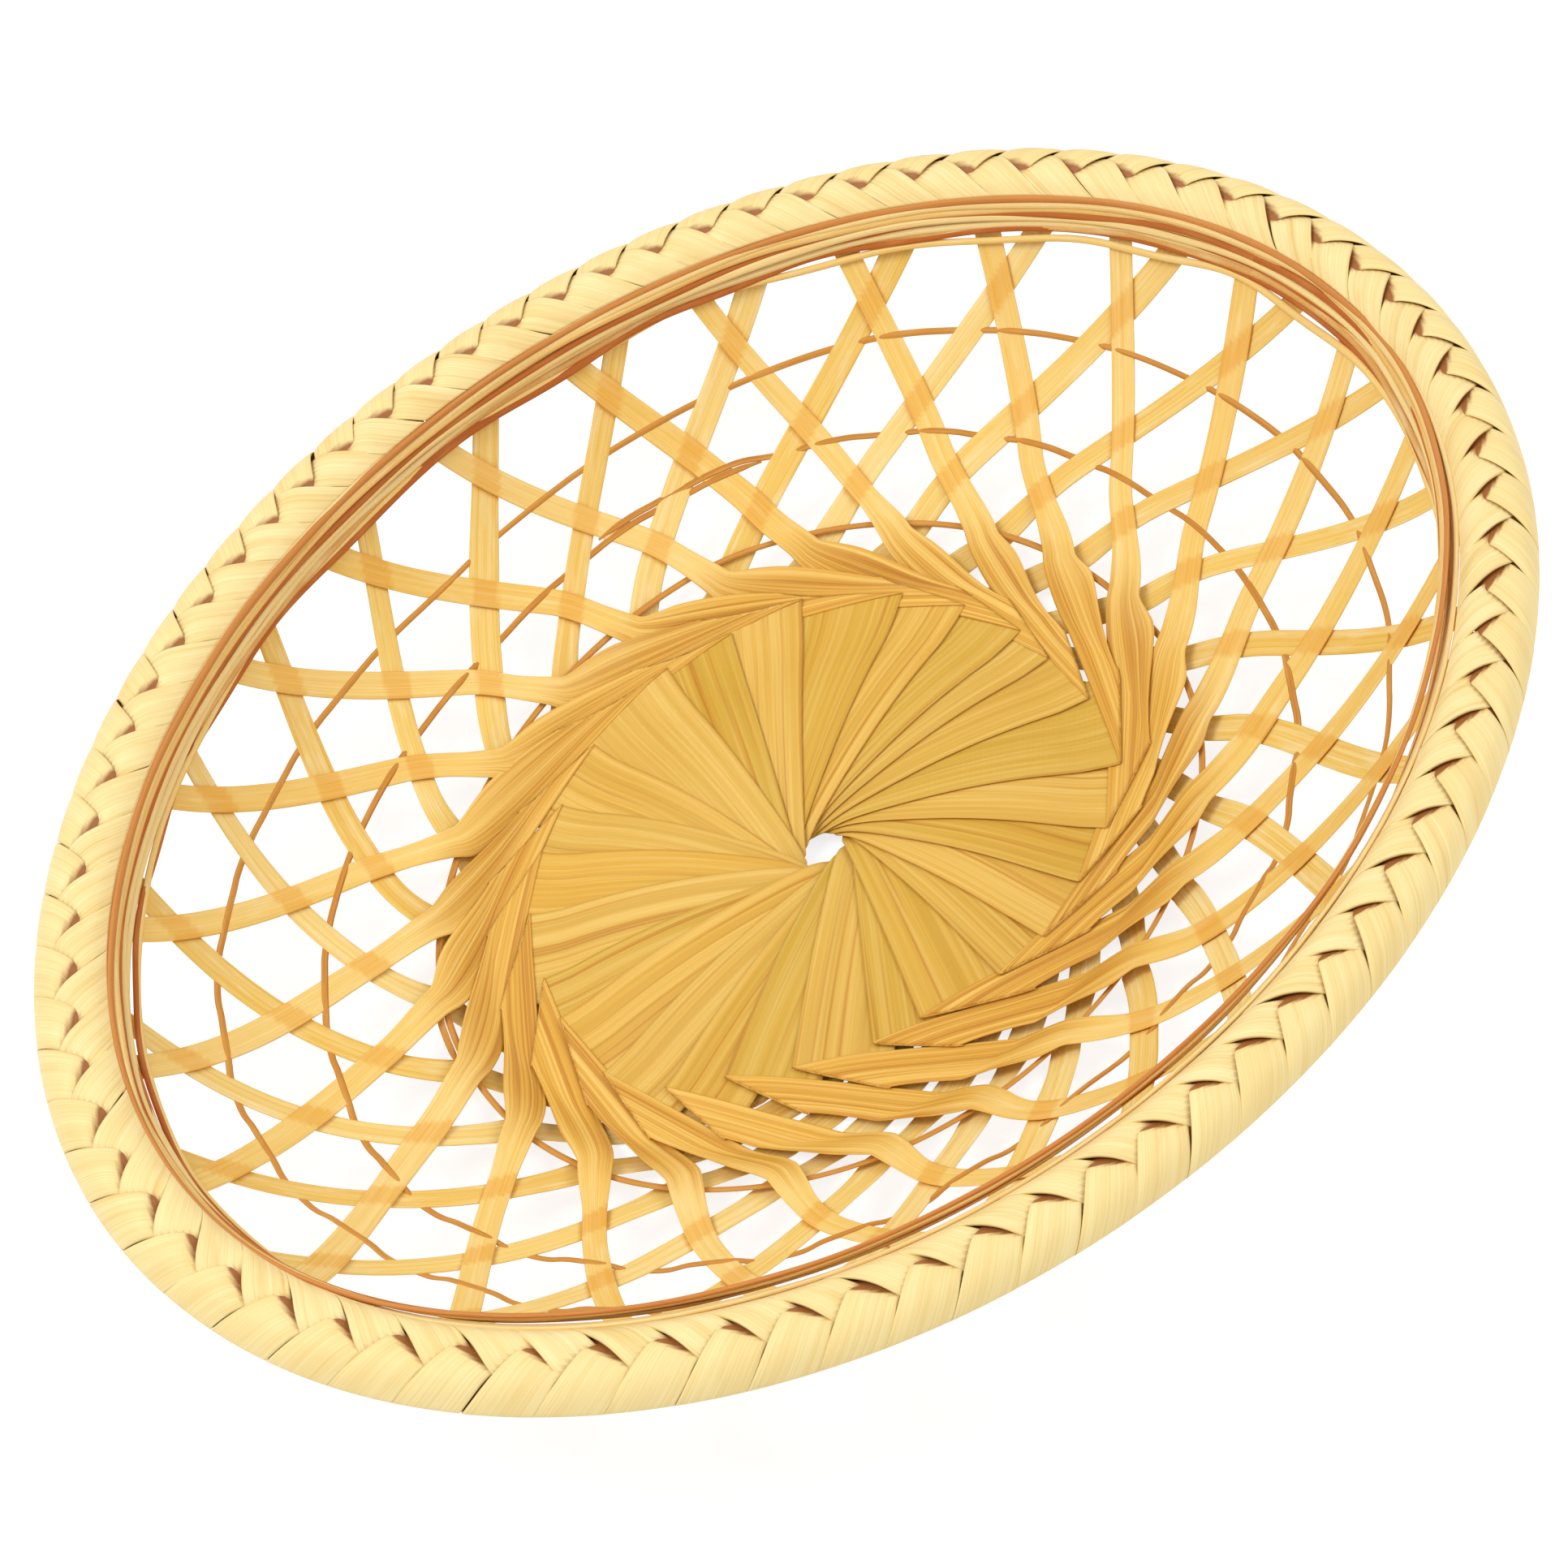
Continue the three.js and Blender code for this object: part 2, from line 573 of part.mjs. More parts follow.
// The rod that the wall strips are laid against and that the plait is folded over.
function makeRimCore() {
  const sections = [];
  for (let i = 0; i < RING_STEPS; i++) {
    const { point, outward } = ridgeFrame(i / RING_STEPS);
    const centre = point.addScaledVector(outward, CORE_OUTWARD);
    centre.z = RIDGE_HEIGHT - CORE_DROP;
    const corners = [];
    for (let k = 0; k < CORE_SIDES; k++) {
      const turn = (2 * k * Math.PI) / CORE_SIDES;
      const p = centre.clone().addScaledVector(outward, CORE_RADIUS * Math.cos(turn));
      p.z += CORE_RADIUS * Math.sin(turn);
      corners.push(p);
    }
    sections.push(corners);
  }
  return sweep(sections, true);
}

function makeRimStrand(index) {
  const r = LATTICE_TOP - RIM_STRANDS_SETBACK + index * RIM_STRAND_STEP;
  const lift = CROSSING_GAP / 2 + STRIP_THICKNESS + HOOP_GAP + RIM_STRAND_RADIUS;
  const sections = [];
  for (let i = 0; i < RING_STEPS; i++) {
    const angle = (360 * i) / RING_STEPS;
    const normal = surfaceNormal(r, angle);
    const centre = surfacePoint(r, angle).addScaledVector(normal, lift);
    sections.push(ringSection(centre, normal, angle, RIM_STRAND_RADIUS));
  }
  return sweep(sections, true);
}

const group = new THREE.Group();

function addPiece(name, geometry, color, roughness) {
  const material = new THREE.MeshStandardMaterial({ color, roughness, metalness: 0 });
  const mesh = new THREE.Mesh(geometry, material);
  mesh.name = name;
  group.add(mesh);
}

const BLADE_COLOR = 0xe8b84a;
const HOOP_COLOR = 0xb9782c;
const PLAIT_COLOR = 0xf3dc96;
const CORE_COLOR = 0xd9a648;

for (let i = 0; i < STAKES; i++) {
  addPiece(`stake_${String(i + 1).padStart(2, "0")}`, makeStake(i), BLADE_COLOR, 0.6);
}
addPiece("lower_hoop", makeLayerHoop(LOWER_HOOP_AT), HOOP_COLOR, 0.7);
addPiece("middle_hoop", makeWovenHoop(hoopRadius(HOOP_ROWS.middle)), HOOP_COLOR, 0.7);
addPiece("upper_hoop", makeWovenHoop(hoopRadius(HOOP_ROWS.upper)), HOOP_COLOR, 0.7);
addPiece("rim_core", makeRimCore(), CORE_COLOR, 0.7);
for (let i = 0; i < RIM_STRANDS; i++) {
  addPiece(`rim_strand_${i + 1}`, makeRimStrand(i), HOOP_COLOR, 0.7);
}
for (let i = 0; i < PLAIT_STRANDS; i++) {
  addPiece(`plait_strand_${i + 1}`, makePlaitStrand(i), PLAIT_COLOR, 0.55);
}

export default group;
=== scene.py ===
"""Oval bread basket of split bamboo: pinwheel base, lattice wall, hoops and a plaited rim.

Every shape is worked out in millimetres on the same surface as the solids, from a distance along
the long axis and an oval angle, and is turned into metres when its mesh is made. Angles are in
degrees, anticlockwise from above.
"""

import math

import bpy
import numpy as np
from mathutils import Matrix, Vector


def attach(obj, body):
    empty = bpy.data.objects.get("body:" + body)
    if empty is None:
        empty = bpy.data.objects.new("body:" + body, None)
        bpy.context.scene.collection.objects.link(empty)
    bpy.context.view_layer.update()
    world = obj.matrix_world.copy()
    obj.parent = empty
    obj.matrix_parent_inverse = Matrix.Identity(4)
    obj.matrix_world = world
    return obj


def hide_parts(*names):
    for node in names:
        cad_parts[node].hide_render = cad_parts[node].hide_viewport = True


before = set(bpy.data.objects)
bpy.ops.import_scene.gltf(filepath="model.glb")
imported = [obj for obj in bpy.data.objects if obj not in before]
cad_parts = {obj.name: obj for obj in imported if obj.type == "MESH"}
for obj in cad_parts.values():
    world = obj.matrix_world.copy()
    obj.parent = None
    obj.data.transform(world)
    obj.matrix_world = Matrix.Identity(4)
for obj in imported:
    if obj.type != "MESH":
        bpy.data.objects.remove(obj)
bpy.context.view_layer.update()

MM = 0.001

# A stake is one strip with two ends.
HEADS, TAILS = 0, 1

# Counts, and the direction of the first stake
STAKES = 25
PITCH = 360 / STAKES
FIRST = 1.2

# Oval rim, base edge, seat and dome, as in the solids
RIDGE_A, RIDGE_B, RIDGE_Z = 119.2, 92.8, 41.2
BASE_A, BASE_B, FOOT_Z = 66.0, 54.4, 5.5
TOP_A, TOP_B, TOP_Z = RIDGE_A - 2.8, RIDGE_B - 2.8, RIDGE_Z - 3.9
SPAN = TOP_A - BASE_A
SEAT_IN, SEAT_OUT, SEAT_Z = 50.0, 57.0, 0.6
DOME_R, DOME_Z = 20.0, 2.3

# The wall rises by a straight share and a cubed share of the way out.
WALL_STRAIGHT, WALL_CUBED = 0.446, 0.554

# Mean of the oval's half axes in shares of the long one
OVAL_MEAN = 0.9

# Blades of the base and their layers
HOLE = 4.0
BLADE_FAR = 16.4
STACK_R, STACK_END = 17.0, 45.0
STACK_ANGLE = math.degrees(math.asin(STACK_R / STACK_END))
LAYER = 0.48
SWIRL_LAYER = 0.62
BLADE_THICK = 0.26

# Half the gap between heads and tails at the end of the stack and on the wall, and the extra room
# that it leaves for the lower hoop: its distance, reach and height
SEAT_GAP, WALL_GAP = 0.35, 0.3
LOWER_HOOP_R, HOOP_ROOM_REACH, HOOP_ROOM = 67.0, 5.5, 0.8

# Distances over which the layers of the heads and those of the tails flatten out
HEAD_LAYER_ENDS = (60, 67)
TAIL_LAYER_ENDS = (47, SEAT_IN)

# A head's layers begin at an angle that grows by this much from before its fold's tip to beyond it.
HEAD_FAR_GAIN = 36
BEFORE_TIP, BEYOND_TIP = 8, 20
# The same angle for a tail, at some distances
TAIL_FAR_R = (0, STACK_END, 58.5, 72)
TAIL_FAR_ANGLE = (STACK_ANGLE, STACK_ANGLE, 30.6, 55)

# Fold of a head. The ring of fold tips lies off centre, towards one angle. Tip and far end lie at
# these angles from the head's direction, and the section that rounds the fold stands out a little.
TIP_R, TIP_SHIFT, TIP_TOWARDS = 50.3, 8.0, 60.0
TIP_ANGLE, FOLD_FAR_ANGLE = 4.6, 22.0
FOLD_OUT, FOLD_THICK = 0.18, 0.24

# A folded band sets out at BAND_AIM, and passes about BAND_TURN on from its head's direction. Its
# edges leave the fold and reach the wall with tangents of these shares of their length.
BAND_AIM, BAND_TURN = 11.2, 30
BAND_LEAVE, BAND_ARRIVE = 1.22, 0.26

# Width of a band, and what it loses for each millimetre that its tip lies farther out
BAND_WIDTH, BAND_LOSS = 6.8, 0.2

# Bulge of a band's outer edge, its range, and the extra bulge of the broad bands on one side
BAND_BULGE, BULGE_RANGE = 1.2, (-0.5, 0.8)
BROAD_TOWARDS, BROAD_BULGE = 248.0, 2.1

# Creases along a band: how many, how deep, the rows from the fold over which they begin, and the
# distances over which they end
CREASES, CREASE_DEPTH, CREASE_ROWS, CREASE_ENDS = (1.4, 3.2), 0.13, 7, (63, 76)

# Hand-made differences of each head: its hole edge, lean, tip and band width
HEAD_SPREAD = (1.2, 3.2, 1.5, 1.3)
HEAD_MAKING = np.random.default_rng(17).uniform(-1, 1, (STAKES, 4)) * HEAD_SPREAD

# Wall strips. At the foot of the wall the heads and the tails are wider by these amounts.
WALL_START, WALL_SETTLED = 66.0, 74
STRIP_WIDTH, STRIP_RANGE, STRIP_WAVER = 4.3, (-0.55, 0.5), 0.06
STRIP_THICK = 0.4
FOOT_EXTRA = (0.9, 0.3)
EDGE_ANGLE, CLIMB, CLIMB_EASE = 47.5, 32.7, 7.8

# A tail's blade runs straight, gathers about two corners, and turns to the wall as a band.
TAIL_STRAIGHT = 36
GATHER_CORNERS = np.array([47.0, HOLE - 1]), np.array([41.1, BLADE_FAR - 7])
TAIL_TURN, TAIL_BAND_WIDTH = 19.0, 4.4
TAIL_SWIRL, TAIL_SWIRL_EASE, TAIL_SWIRL_START = 20, 11, 0.97

# Where a strip changes its look: from band to wall strip on a head, from blade to strip on a tail
HEAD_BAND_ENDS, TAIL_BLADE_ENDS = (61, 72), (34, 60)
# Zones that the material tells apart, and that of the fold's own section
ON_WALL, ON_BAND, ON_BLADE, ON_FOLD = 0, 1, 2, 1.3

# How far the hand-woven strips lie off their even places, halfway up the wall and as a lean from
# foot to rim: mean, cosine and sine of the oval angle, and cosine and sine of twice the angle.
HEAD_DRIFT = (-0.5, 2.1, -1.3, 1.2, 0.2)
HEAD_LEAN = (-0.4, -0.2, -1.2, -2.1, 1.5)
TAIL_DRIFT = (-0.7, 1.2, 0.0, 0.8, 0.5)
TAIL_LEAN = (-1.6, 0.5, -0.2, -0.7, 0.8)
DRIFT_STARTS = (64, 82)

# Each strip's own wander in degrees: a wave up the wall, a slant about a level, and a shift. The
# wave runs through WAVE_RUN radians, from a phase up to WAVE_PHASE either way.
WAVE, WAVE_RUN, WAVE_PHASE = 0.55, 4.5, 3.1
SLANT, SLANT_LEVEL, SHIFT = 0.5, 0.4, 0.35
WANDER_STARTS = (64, 76)

# Where the painted shade on the strips begins, which darkens them where they cross, and how soft the edge
# of that shade is
CROSSING_STARTS, CROSSING_SOFT = (67, 72), 0.2


def link(ob):
    bpy.context.scene.collection.objects.link(ob)


def mix(a, b, t):
    return a + (b - a) * t


def ramp(a, b, x):
    t = np.clip((np.asarray(x, float) - a) / (b - a), 0, 1)
    return t * t * (3 - 2 * t)


def unit(v):
    return v / np.maximum(np.linalg.norm(v, axis=-1, keepdims=True), 1e-12)


def smooth_noise(seed, x, waves=4):
    """A soft random curve of x between about -1 and 1, the same for the same seed."""
    rng = np.random.default_rng(seed)
    total = np.zeros_like(np.asarray(x, float))
    for k in range(1, waves + 1):
        total += np.sin(np.asarray(x) * k * rng.uniform(0.7, 1.3) + rng.uniform(0, 6.283)) / k
    return total / 1.6


def ring_noise(seed, angle, waves):
    """A random curve of the angle that closes after a full turn, between about -1 and 1."""
    rng = np.random.default_rng(seed)
    a = np.radians(angle)
    total = np.zeros_like(a)
    for k in range(1, waves + 1):
        total += rng.normal() * np.sin(k * a + rng.uniform(0, 6.283)) / k ** 0.6
    return total / 2.2


# The surface midway between heads and tails

def wall_share(r):
    """0 at the foot of the wall and 1 at its top."""
    return (r - BASE_A) / SPAN


def oval_ratio(r):
    return mix(BASE_B / BASE_A, TOP_B / TOP_A, np.maximum(0, wall_share(r)))


def middle_height(r):
    r = np.asarray(r, float)
    dome = np.clip((r - DOME_R) / (SEAT_IN - DOME_R), 0, 1)
    inner = SEAT_Z + DOME_Z * (1 - dome * dome)
    u = wall_share(r)
    wall = FOOT_Z + (TOP_Z - FOOT_Z) * (WALL_STRAIGHT * u + WALL_CUBED * u ** 3)
    t = (r - SEAT_OUT) / (BASE_A - SEAT_OUT)
    slope = (TOP_Z - FOOT_Z) * WALL_STRAIGHT * (BASE_A - SEAT_OUT) / SPAN
    turn = SEAT_Z * (2 * t ** 3 - 3 * t * t + 1)
    turn += FOOT_Z * (3 * t * t - 2 * t ** 3) + slope * (t ** 3 - t * t)
    return np.where(r <= SEAT_OUT, inner, np.where(r >= BASE_A, wall, turn))


def surface(r, angle):
    a = np.radians(angle)
    return np.stack([r * np.cos(a), r * oval_ratio(r) * np.sin(a), middle_height(r)], -1)


def surface_normal(r, angle):
    """Unit normal of the surface, up in the base and inwards on the wall."""
    step = 0.01
    out = surface(r + step, angle) - surface(r - step, angle)
    around = surface(r, angle + step) - surface(r, angle - step)
    return unit(np.cross(out, around))


def climb(r):
    """Oval angle of a head's wall strip from its stake's direction."""
    w = wall_share(r)
    return EDGE_ANGLE + CLIMB * w - np.where(w > 0, CLIMB_EASE * w * w, 0)


def even_angle(end, r):
    """The same for either end. A tail sets out the other way and turns back."""
    return climb(r) if end == HEADS else 180 - climb(r)


def tip_radius(direction):
    """Distance of the fold's tip on a head that sets out in this direction."""
    return TIP_R + TIP_SHIFT * np.cos(np.radians(direction + TIP_ANGLE - TIP_TOWARDS)) ** 3


def half_gap(r):
    """Half the distance between the head layer and the tail layer."""
    r = np.asarray(r, float)
    full = LAYER * (90 - STACK_ANGLE) / PITCH
    t = np.clip((r - STACK_R) / (STACK_END - STACK_R), 0, 1)
    inner = mix(full, SEAT_GAP, t * t)
    even = mix(SEAT_GAP, WALL_GAP, ramp(SEAT_OUT, BASE_A + 9, r))
    outer = even + HOOP_ROOM * np.exp(-(((r - LOWER_HOOP_R) / HOOP_ROOM_REACH) ** 2))
    return np.where(r <= STACK_END, inner, outer)


def head_offset(r, phi, direction, folded):
    """Height of a head over the surface. Each lies over its clockwise neighbour, and a folded band
    lies half a layer over its own blade."""
    tip = tip_radius(direction + phi - BAND_TURN)
    far = STACK_ANGLE + HEAD_FAR_GAIN * ramp(tip - BEFORE_TIP, tip + BEYOND_TIP, r)
    layer = mix(LAYER, SWIRL_LAYER, ramp(tip - BEFORE_TIP, tip, r))
    layer = layer * (1 - ramp(*HEAD_LAYER_ENDS, r))
    return half_gap(r) + layer * ((far - phi) / PITCH + 0.5 * folded)


def tail_offset(r, phi):
    """The same for a tail, which lies under the surface."""
    far = np.interp(r, TAIL_FAR_R, TAIL_FAR_ANGLE)
    return -(half_gap(r) + (1 - ramp(*TAIL_LAYER_ENDS, r)) * LAYER * (far - phi) / PITCH)


# Where the strips of the wall lie

# Random amounts for each strip: the height and phase of its wave, its slant and its shift
JITTER = np.random.default_rng(41).uniform(-1, 1, (2, STAKES, 4))


def harmonics(amounts, angle):
    a = np.radians(angle)
    waves = (np.ones_like(a), np.cos(a), np.sin(a), np.cos(2 * a), np.sin(2 * a))
    return sum(amount * wave for amount, wave in zip(amounts, waves))


def drift(end, r, angle):
    """Degrees by which the strips near this place of the wall lie off their even places."""
    middle, lean = ((HEAD_DRIFT, HEAD_LEAN), (TAIL_DRIFT, TAIL_LEAN))[end]
    w = wall_share(r)
    return ramp(*DRIFT_STARTS, r) * (harmonics(middle, angle) + (2 * w - 1) * harmonics(lean, angle))


def wall_angle(end, stake, r):
    """Oval angle of the middle of a stake's strip at distance r on the wall."""
    direction = FIRST + np.asarray(stake) * PITCH
    even = direction + even_angle(end, r)
    wave, phase, slant, shift = np.moveaxis(JITTER[end][np.asarray(stake) % STAKES], -1, 0)
    w = wall_share(r)
    wander = WAVE * wave * np.sin(WAVE_RUN * w + WAVE_PHASE * phase)
    wander = wander + SLANT * slant * (w - SLANT_LEVEL) + SHIFT * shift
    return even + drift(end, r, even) + ramp(*WANDER_STARTS, r) * wander


def nearest_stake(end, r, angle):
    """Stake whose strip is nearest to a place, and the degrees from its middle to the place."""
    even = FIRST + even_angle(end, r)
    stake = np.round((angle - drift(end, r, angle) - even) / PITCH).astype(int)
    away = angle - wall_angle(end, stake, r)
    return stake, (away + 180) % 360 - 180


def crossing_shade(r, angle, other):
    """Painted shade: 1 where a strip of the other layer lies behind or before this point of the wall,
    else 0.
    """
    step = 0.5
    slope = np.abs(climb(r + step) - climb(r)) / step
    degree = np.radians(1) * r * OVAL_MEAN
    half = STRIP_WIDTH / 2 * np.sqrt(1 + (slope * degree) ** 2) / degree
    _, away = nearest_stake(other, r, angle)
    inside = 1 - ramp(half - CROSSING_SOFT, half + CROSSING_SOFT, np.abs(away))
    return inside * ramp(*CROSSING_STARTS, r)


# Closed strip meshes

# Places across a strip in shares of its width, and its thickness there
ACROSS = np.array([0, 0.035, 0.12, 0.27, 0.42, 0.58, 0.73, 0.88, 0.965, 1])
ROUNDING = np.array([0.35, 0.8, 1, 1, 1, 1, 1, 1, 0.8, 0.35])

# Units of grain across a blade, a plait ribbon and a millimetre of a splint, and the distance from
# the grain of a strip's upper face to that of its lower one
BLADE_GRAIN, RIBBON_GRAIN, SPLINT_GRAIN = 10, 7, 2
REVERSE_GRAIN = 37.0


def add_mesh(name, parts, material, node):
    """A piece of one or more parts that replaces a node. A part is points in mm, faces, and two
    vectors for each corner of each face: grain (along, across, seed) and tone (painted shade, side, zone)."""
    points, faces, grain, tone = [], [], [], []
    for p, f, g, t in parts:
        faces.append(f + sum(len(q) for q in points))
        points.append(p)
        grain.append(g)
        tone.append(t)
    mesh = bpy.data.meshes.new(name)
    mesh.from_pydata((np.concatenate(points) * MM).tolist(), [], np.concatenate(faces).tolist())
    for label, data in (("grain", grain), ("tone", tone)):
        layer = mesh.attributes.new(label, "FLOAT_VECTOR", "CORNER")
        layer.data.foreach_set("vector", np.concatenate(data).astype(np.float32).ravel())
    mesh.shade_smooth()
    mesh.materials.append(material)
    piece = bpy.data.objects.new(name, mesh)
    link(piece)
    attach(piece, "root")
    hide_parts(node)


def path_length(points):
    """Length of a line of points from its start to each of them."""
    return np.concatenate([[0], np.cumsum(np.linalg.norm(np.diff(points, axis=0), axis=1))])


def strip_part(centre, normal, half, along, across, seed, shade, zone, ring=False):
    """One closed strip over a grid of centre points, n along it and m across it. Half is half the
    thickness, along and across are places in the grain, shade is painted shade and zone tints it."""
    n, m, _ = centre.shape
    reach = np.broadcast_to(half, (n, m))[..., None] * normal
    loop = np.concatenate([centre + reach, (centre - reach)[:, ::-1]], 1)

    def both(top, bottom):
        return np.concatenate([np.broadcast_to(top, (n, m)), np.broadcast_to(bottom, (n, m))[:, ::-1]], 1)

    values = np.stack([
        both(along[:, None], along[:, None]),
        both(across, across + REVERSE_GRAIN),
        both(seed, seed),
        both(shade, shade),
        both(1, 0),
        both(zone, zone),
    ], -1)
    size = 2 * m
    i = np.arange(n if ring else n - 1)[:, None]
    k = np.arange(size)[None, :]
    j = (i + 1) % n
    l = (k + 1) % size
    quads = np.stack([i * size + k, j * size + k, j * size + l, i * size + l], -1)
    corners = values.reshape(-1, 6)[quads]
    if ring:
        # The last face ends one step on, not back at the grain's start.
        corners[-1, :, 1:3, 0] += along[-1] + along[1] - 2 * along[0]
    # The narrow sides keep one grain place and one side across.
    for column in (m - 1, size - 1):
        corners[:, column, 2:, (1, 4)] = corners[:, column, 1::-1, (1, 4)]
    quads = quads.reshape(-1, 4)
    corners = corners.reshape(-1, 4, 6)
    if not ring:
        # Each end is closed by a row of quads between its top and bottom edges.
        for row, order in ((0, (0, 1, 2, 3)), (n - 1, (3, 2, 1, 0))):
            a = row * size + np.arange(m - 1)
            b = row * size + size - 1 - np.arange(m - 1)
            cap = np.stack([a, a + 1, b - 1, b], -1)[:, order]
            quads = np.concatenate([quads, cap])
            corners = np.concatenate([corners, values.reshape(-1, 6)[cap]])
    flat = corners.reshape(-1, 6)
    return loop.reshape(-1, 3), quads, flat[:, :3], flat[:, 3:]


def polar(x, y):
    return np.hypot(x, y), np.degrees(np.arctan2(y, x))


def flat_point(r, phi):
    a = np.radians(phi)
    return np.stack([r * np.cos(a), r * np.sin(a)], -1)


# Stakes. Their edges are flat points, with x along the stake's own direction, and a tail's edges
# are worked out as for a head and then mirrored.

def band_edges(end, direction, r, phi_of, width):
    """Both edges of a band of the given real width, square to its path at distance r."""
    step = 0.05
    sense = 1 if end == HEADS else -1

    def angle_of(x):
        return direction + (phi_of(x) if end == HEADS else 180 - phi_of(x))

    here = surface(r, angle_of(r))
    ahead = unit(surface(r + step, angle_of(r + step)) - here)
    across = unit(np.cross(surface_normal(r, angle_of(r)), ahead))
    along_r = (surface(r + step, angle_of(r)) - here) / step
    along_a = (surface(r, angle_of(r) + step) - here) / step
    rr = (along_r * along_r).sum(-1)
    ra = (along_r * along_a).sum(-1)
    aa = (along_a * along_a).sum(-1)
    det = rr * aa - ra * ra
    br = (across * along_r).sum(-1)
    ba = (across * along_a).sum(-1)
    dr = (br * aa - ba * ra) / det
    da = (ba * rr - br * ra) / det
    half = width / 2
    return [flat_point(r + side * sense * half * dr, phi_of(r) + side * half * da) for side in (-1, 1)]


def bezier(a, b, c, t):
    t = t[:, None]
    return a * (1 - t) ** 2 + 2 * b * t * (1 - t) + c * t * t


def hermite(p0, d0, p1, d1, t):
    t = t[:, None]
    t2 = t * t
    t3 = t2 * t
    return (2 * t3 - 3 * t2 + 1) * p0 + (t3 - 2 * t2 + t) * d0 + (3 * t2 - 2 * t3) * p1 + (t3 - t2) * d1


def line(a, b, t):
    return mix(np.asarray(a, float), np.asarray(b, float), t[:, None])


def wall_edges(end, k, rng):
    """Edges of a stake's strip from the foot of the wall to the rim, and their distances."""
    direction = FIRST + k * PITCH
    width = STRIP_WIDTH + rng.uniform(*STRIP_RANGE)
    seed = int(rng.integers(1 << 30))

    def phi_of(r):
        away = wall_angle(end, k, r) - direction
        return away if end == HEADS else 180 - away

    foot = np.linspace(WALL_START, WALL_SETTLED, 14, endpoint=False)
    r = np.concatenate([foot, np.linspace(WALL_SETTLED, TOP_A, 80)])
    widths = width * (1 + STRIP_WAVER * smooth_noise(seed, r * 0.09, 3))
    widths = mix(STRIP_WIDTH + FOOT_EXTRA[end], widths, ramp(WALL_START, 75, r))
    return band_edges(end, direction, r, phi_of, widths), r


def wall_thick(r):
    return mix(BLADE_THICK, STRIP_THICK, ramp(WALL_START, WALL_SETTLED, r))


def head_rows(k, rng):
    """Edges of a head from the middle of the base to the rim: right, left, folded, thickness."""
    direction = FIRST + k * PITCH
    hole, lean, reach, wide = HEAD_MAKING[k]
    near = HOLE + hole
    tip_r = tip_radius(direction) + reach
    width = BAND_WIDTH - BAND_LOSS * (tip_r - TIP_R) + wide
    tip = flat_point(tip_r, math.degrees(math.asin(near / tip_r)) + lean)
    far = flat_point(tip_r + width, FOLD_FAR_ANGLE + max(lean, HEAD_MAKING[(k + 1) % STAKES][1]))
    s = np.linspace(0, 1, 30)
    blade = line([0, near], tip, s), line([0, BLADE_FAR], far, s)
    (right, left), r = wall_edges(HEADS, k, rng)
    # The strip turns over at the fold, so the blade's right edge is the left one of the wall strip.
    aim_angle = math.radians(BAND_AIM + lean)
    aim = np.array([-math.sin(aim_angle), math.cos(aim_angle)])
    q = np.linspace(0, 1, 36)[:-1]
    band = []
    for begin, end in ((tip, left), (far, right)):
        length = np.linalg.norm(end[0] - begin)
        arrive = unit(end[1] - end[0]) * length * BAND_ARRIVE
        band.append(hermite(begin, aim * length * BAND_LEAVE, end[0], arrive, q))
    across = unit(band[1] - band[0])
    bulge = (BAND_BULGE + rng.uniform(*BULGE_RANGE)) * np.sin(np.pi * q ** 0.7) ** 2
    broad = BROAD_BULGE * max(0, math.cos(math.radians(direction - BROAD_TOWARDS)))
    band[1] = band[1] + across * (bulge + broad * np.sin(np.pi * q) ** 2)[:, None]
    rights = np.concatenate([blade[0], band[0], left])
    lefts = np.concatenate([blade[1], band[1], right])
    folded = np.concatenate([np.zeros(len(s)), np.ones(len(q) + len(r))])
    thick = np.concatenate([np.full(len(s) + len(q), BLADE_THICK), wall_thick(r)])
    return rights, lefts, folded, thick


def tail_angle(r):
    t = (BASE_A - r) / TAIL_TURN
    return np.where(r >= BASE_A, climb(r), EDGE_ANGLE - TAIL_SWIRL * t - TAIL_SWIRL_EASE * t * t)


def tail_rows(k, rng):
    """The same for a tail, whose blade gathers into a band without a fold."""
    direction = FIRST + k * PITCH
    x = np.linspace(0, TAIL_STRAIGHT, 22)
    blade = [np.stack([x, np.full_like(x, y)], -1) for y in (HOLE, BLADE_FAR)]
    swirl_r = np.linspace(BASE_A - TAIL_SWIRL_START * TAIL_TURN, WALL_START, 18, endpoint=False)
    swirl = band_edges(TAILS, direction, swirl_r, tail_angle, TAIL_BAND_WIDTH)
    t = np.linspace(0, 1, 12)[1:-1]
    gather = [bezier(blade[i][-1], GATHER_CORNERS[i], swirl[i][0], t) for i in (0, 1)]
    wall, r = wall_edges(TAILS, k, rng)
    rights, lefts = [np.concatenate([blade[i], gather[i], swirl[i], wall[i]]) for i in (0, 1)]
    flat_count = len(x) + len(t) + len(swirl_r)
    thick = np.concatenate([np.full(flat_count, BLADE_THICK), wall_thick(r)])
    return rights, lefts, np.zeros(len(rights)), thick


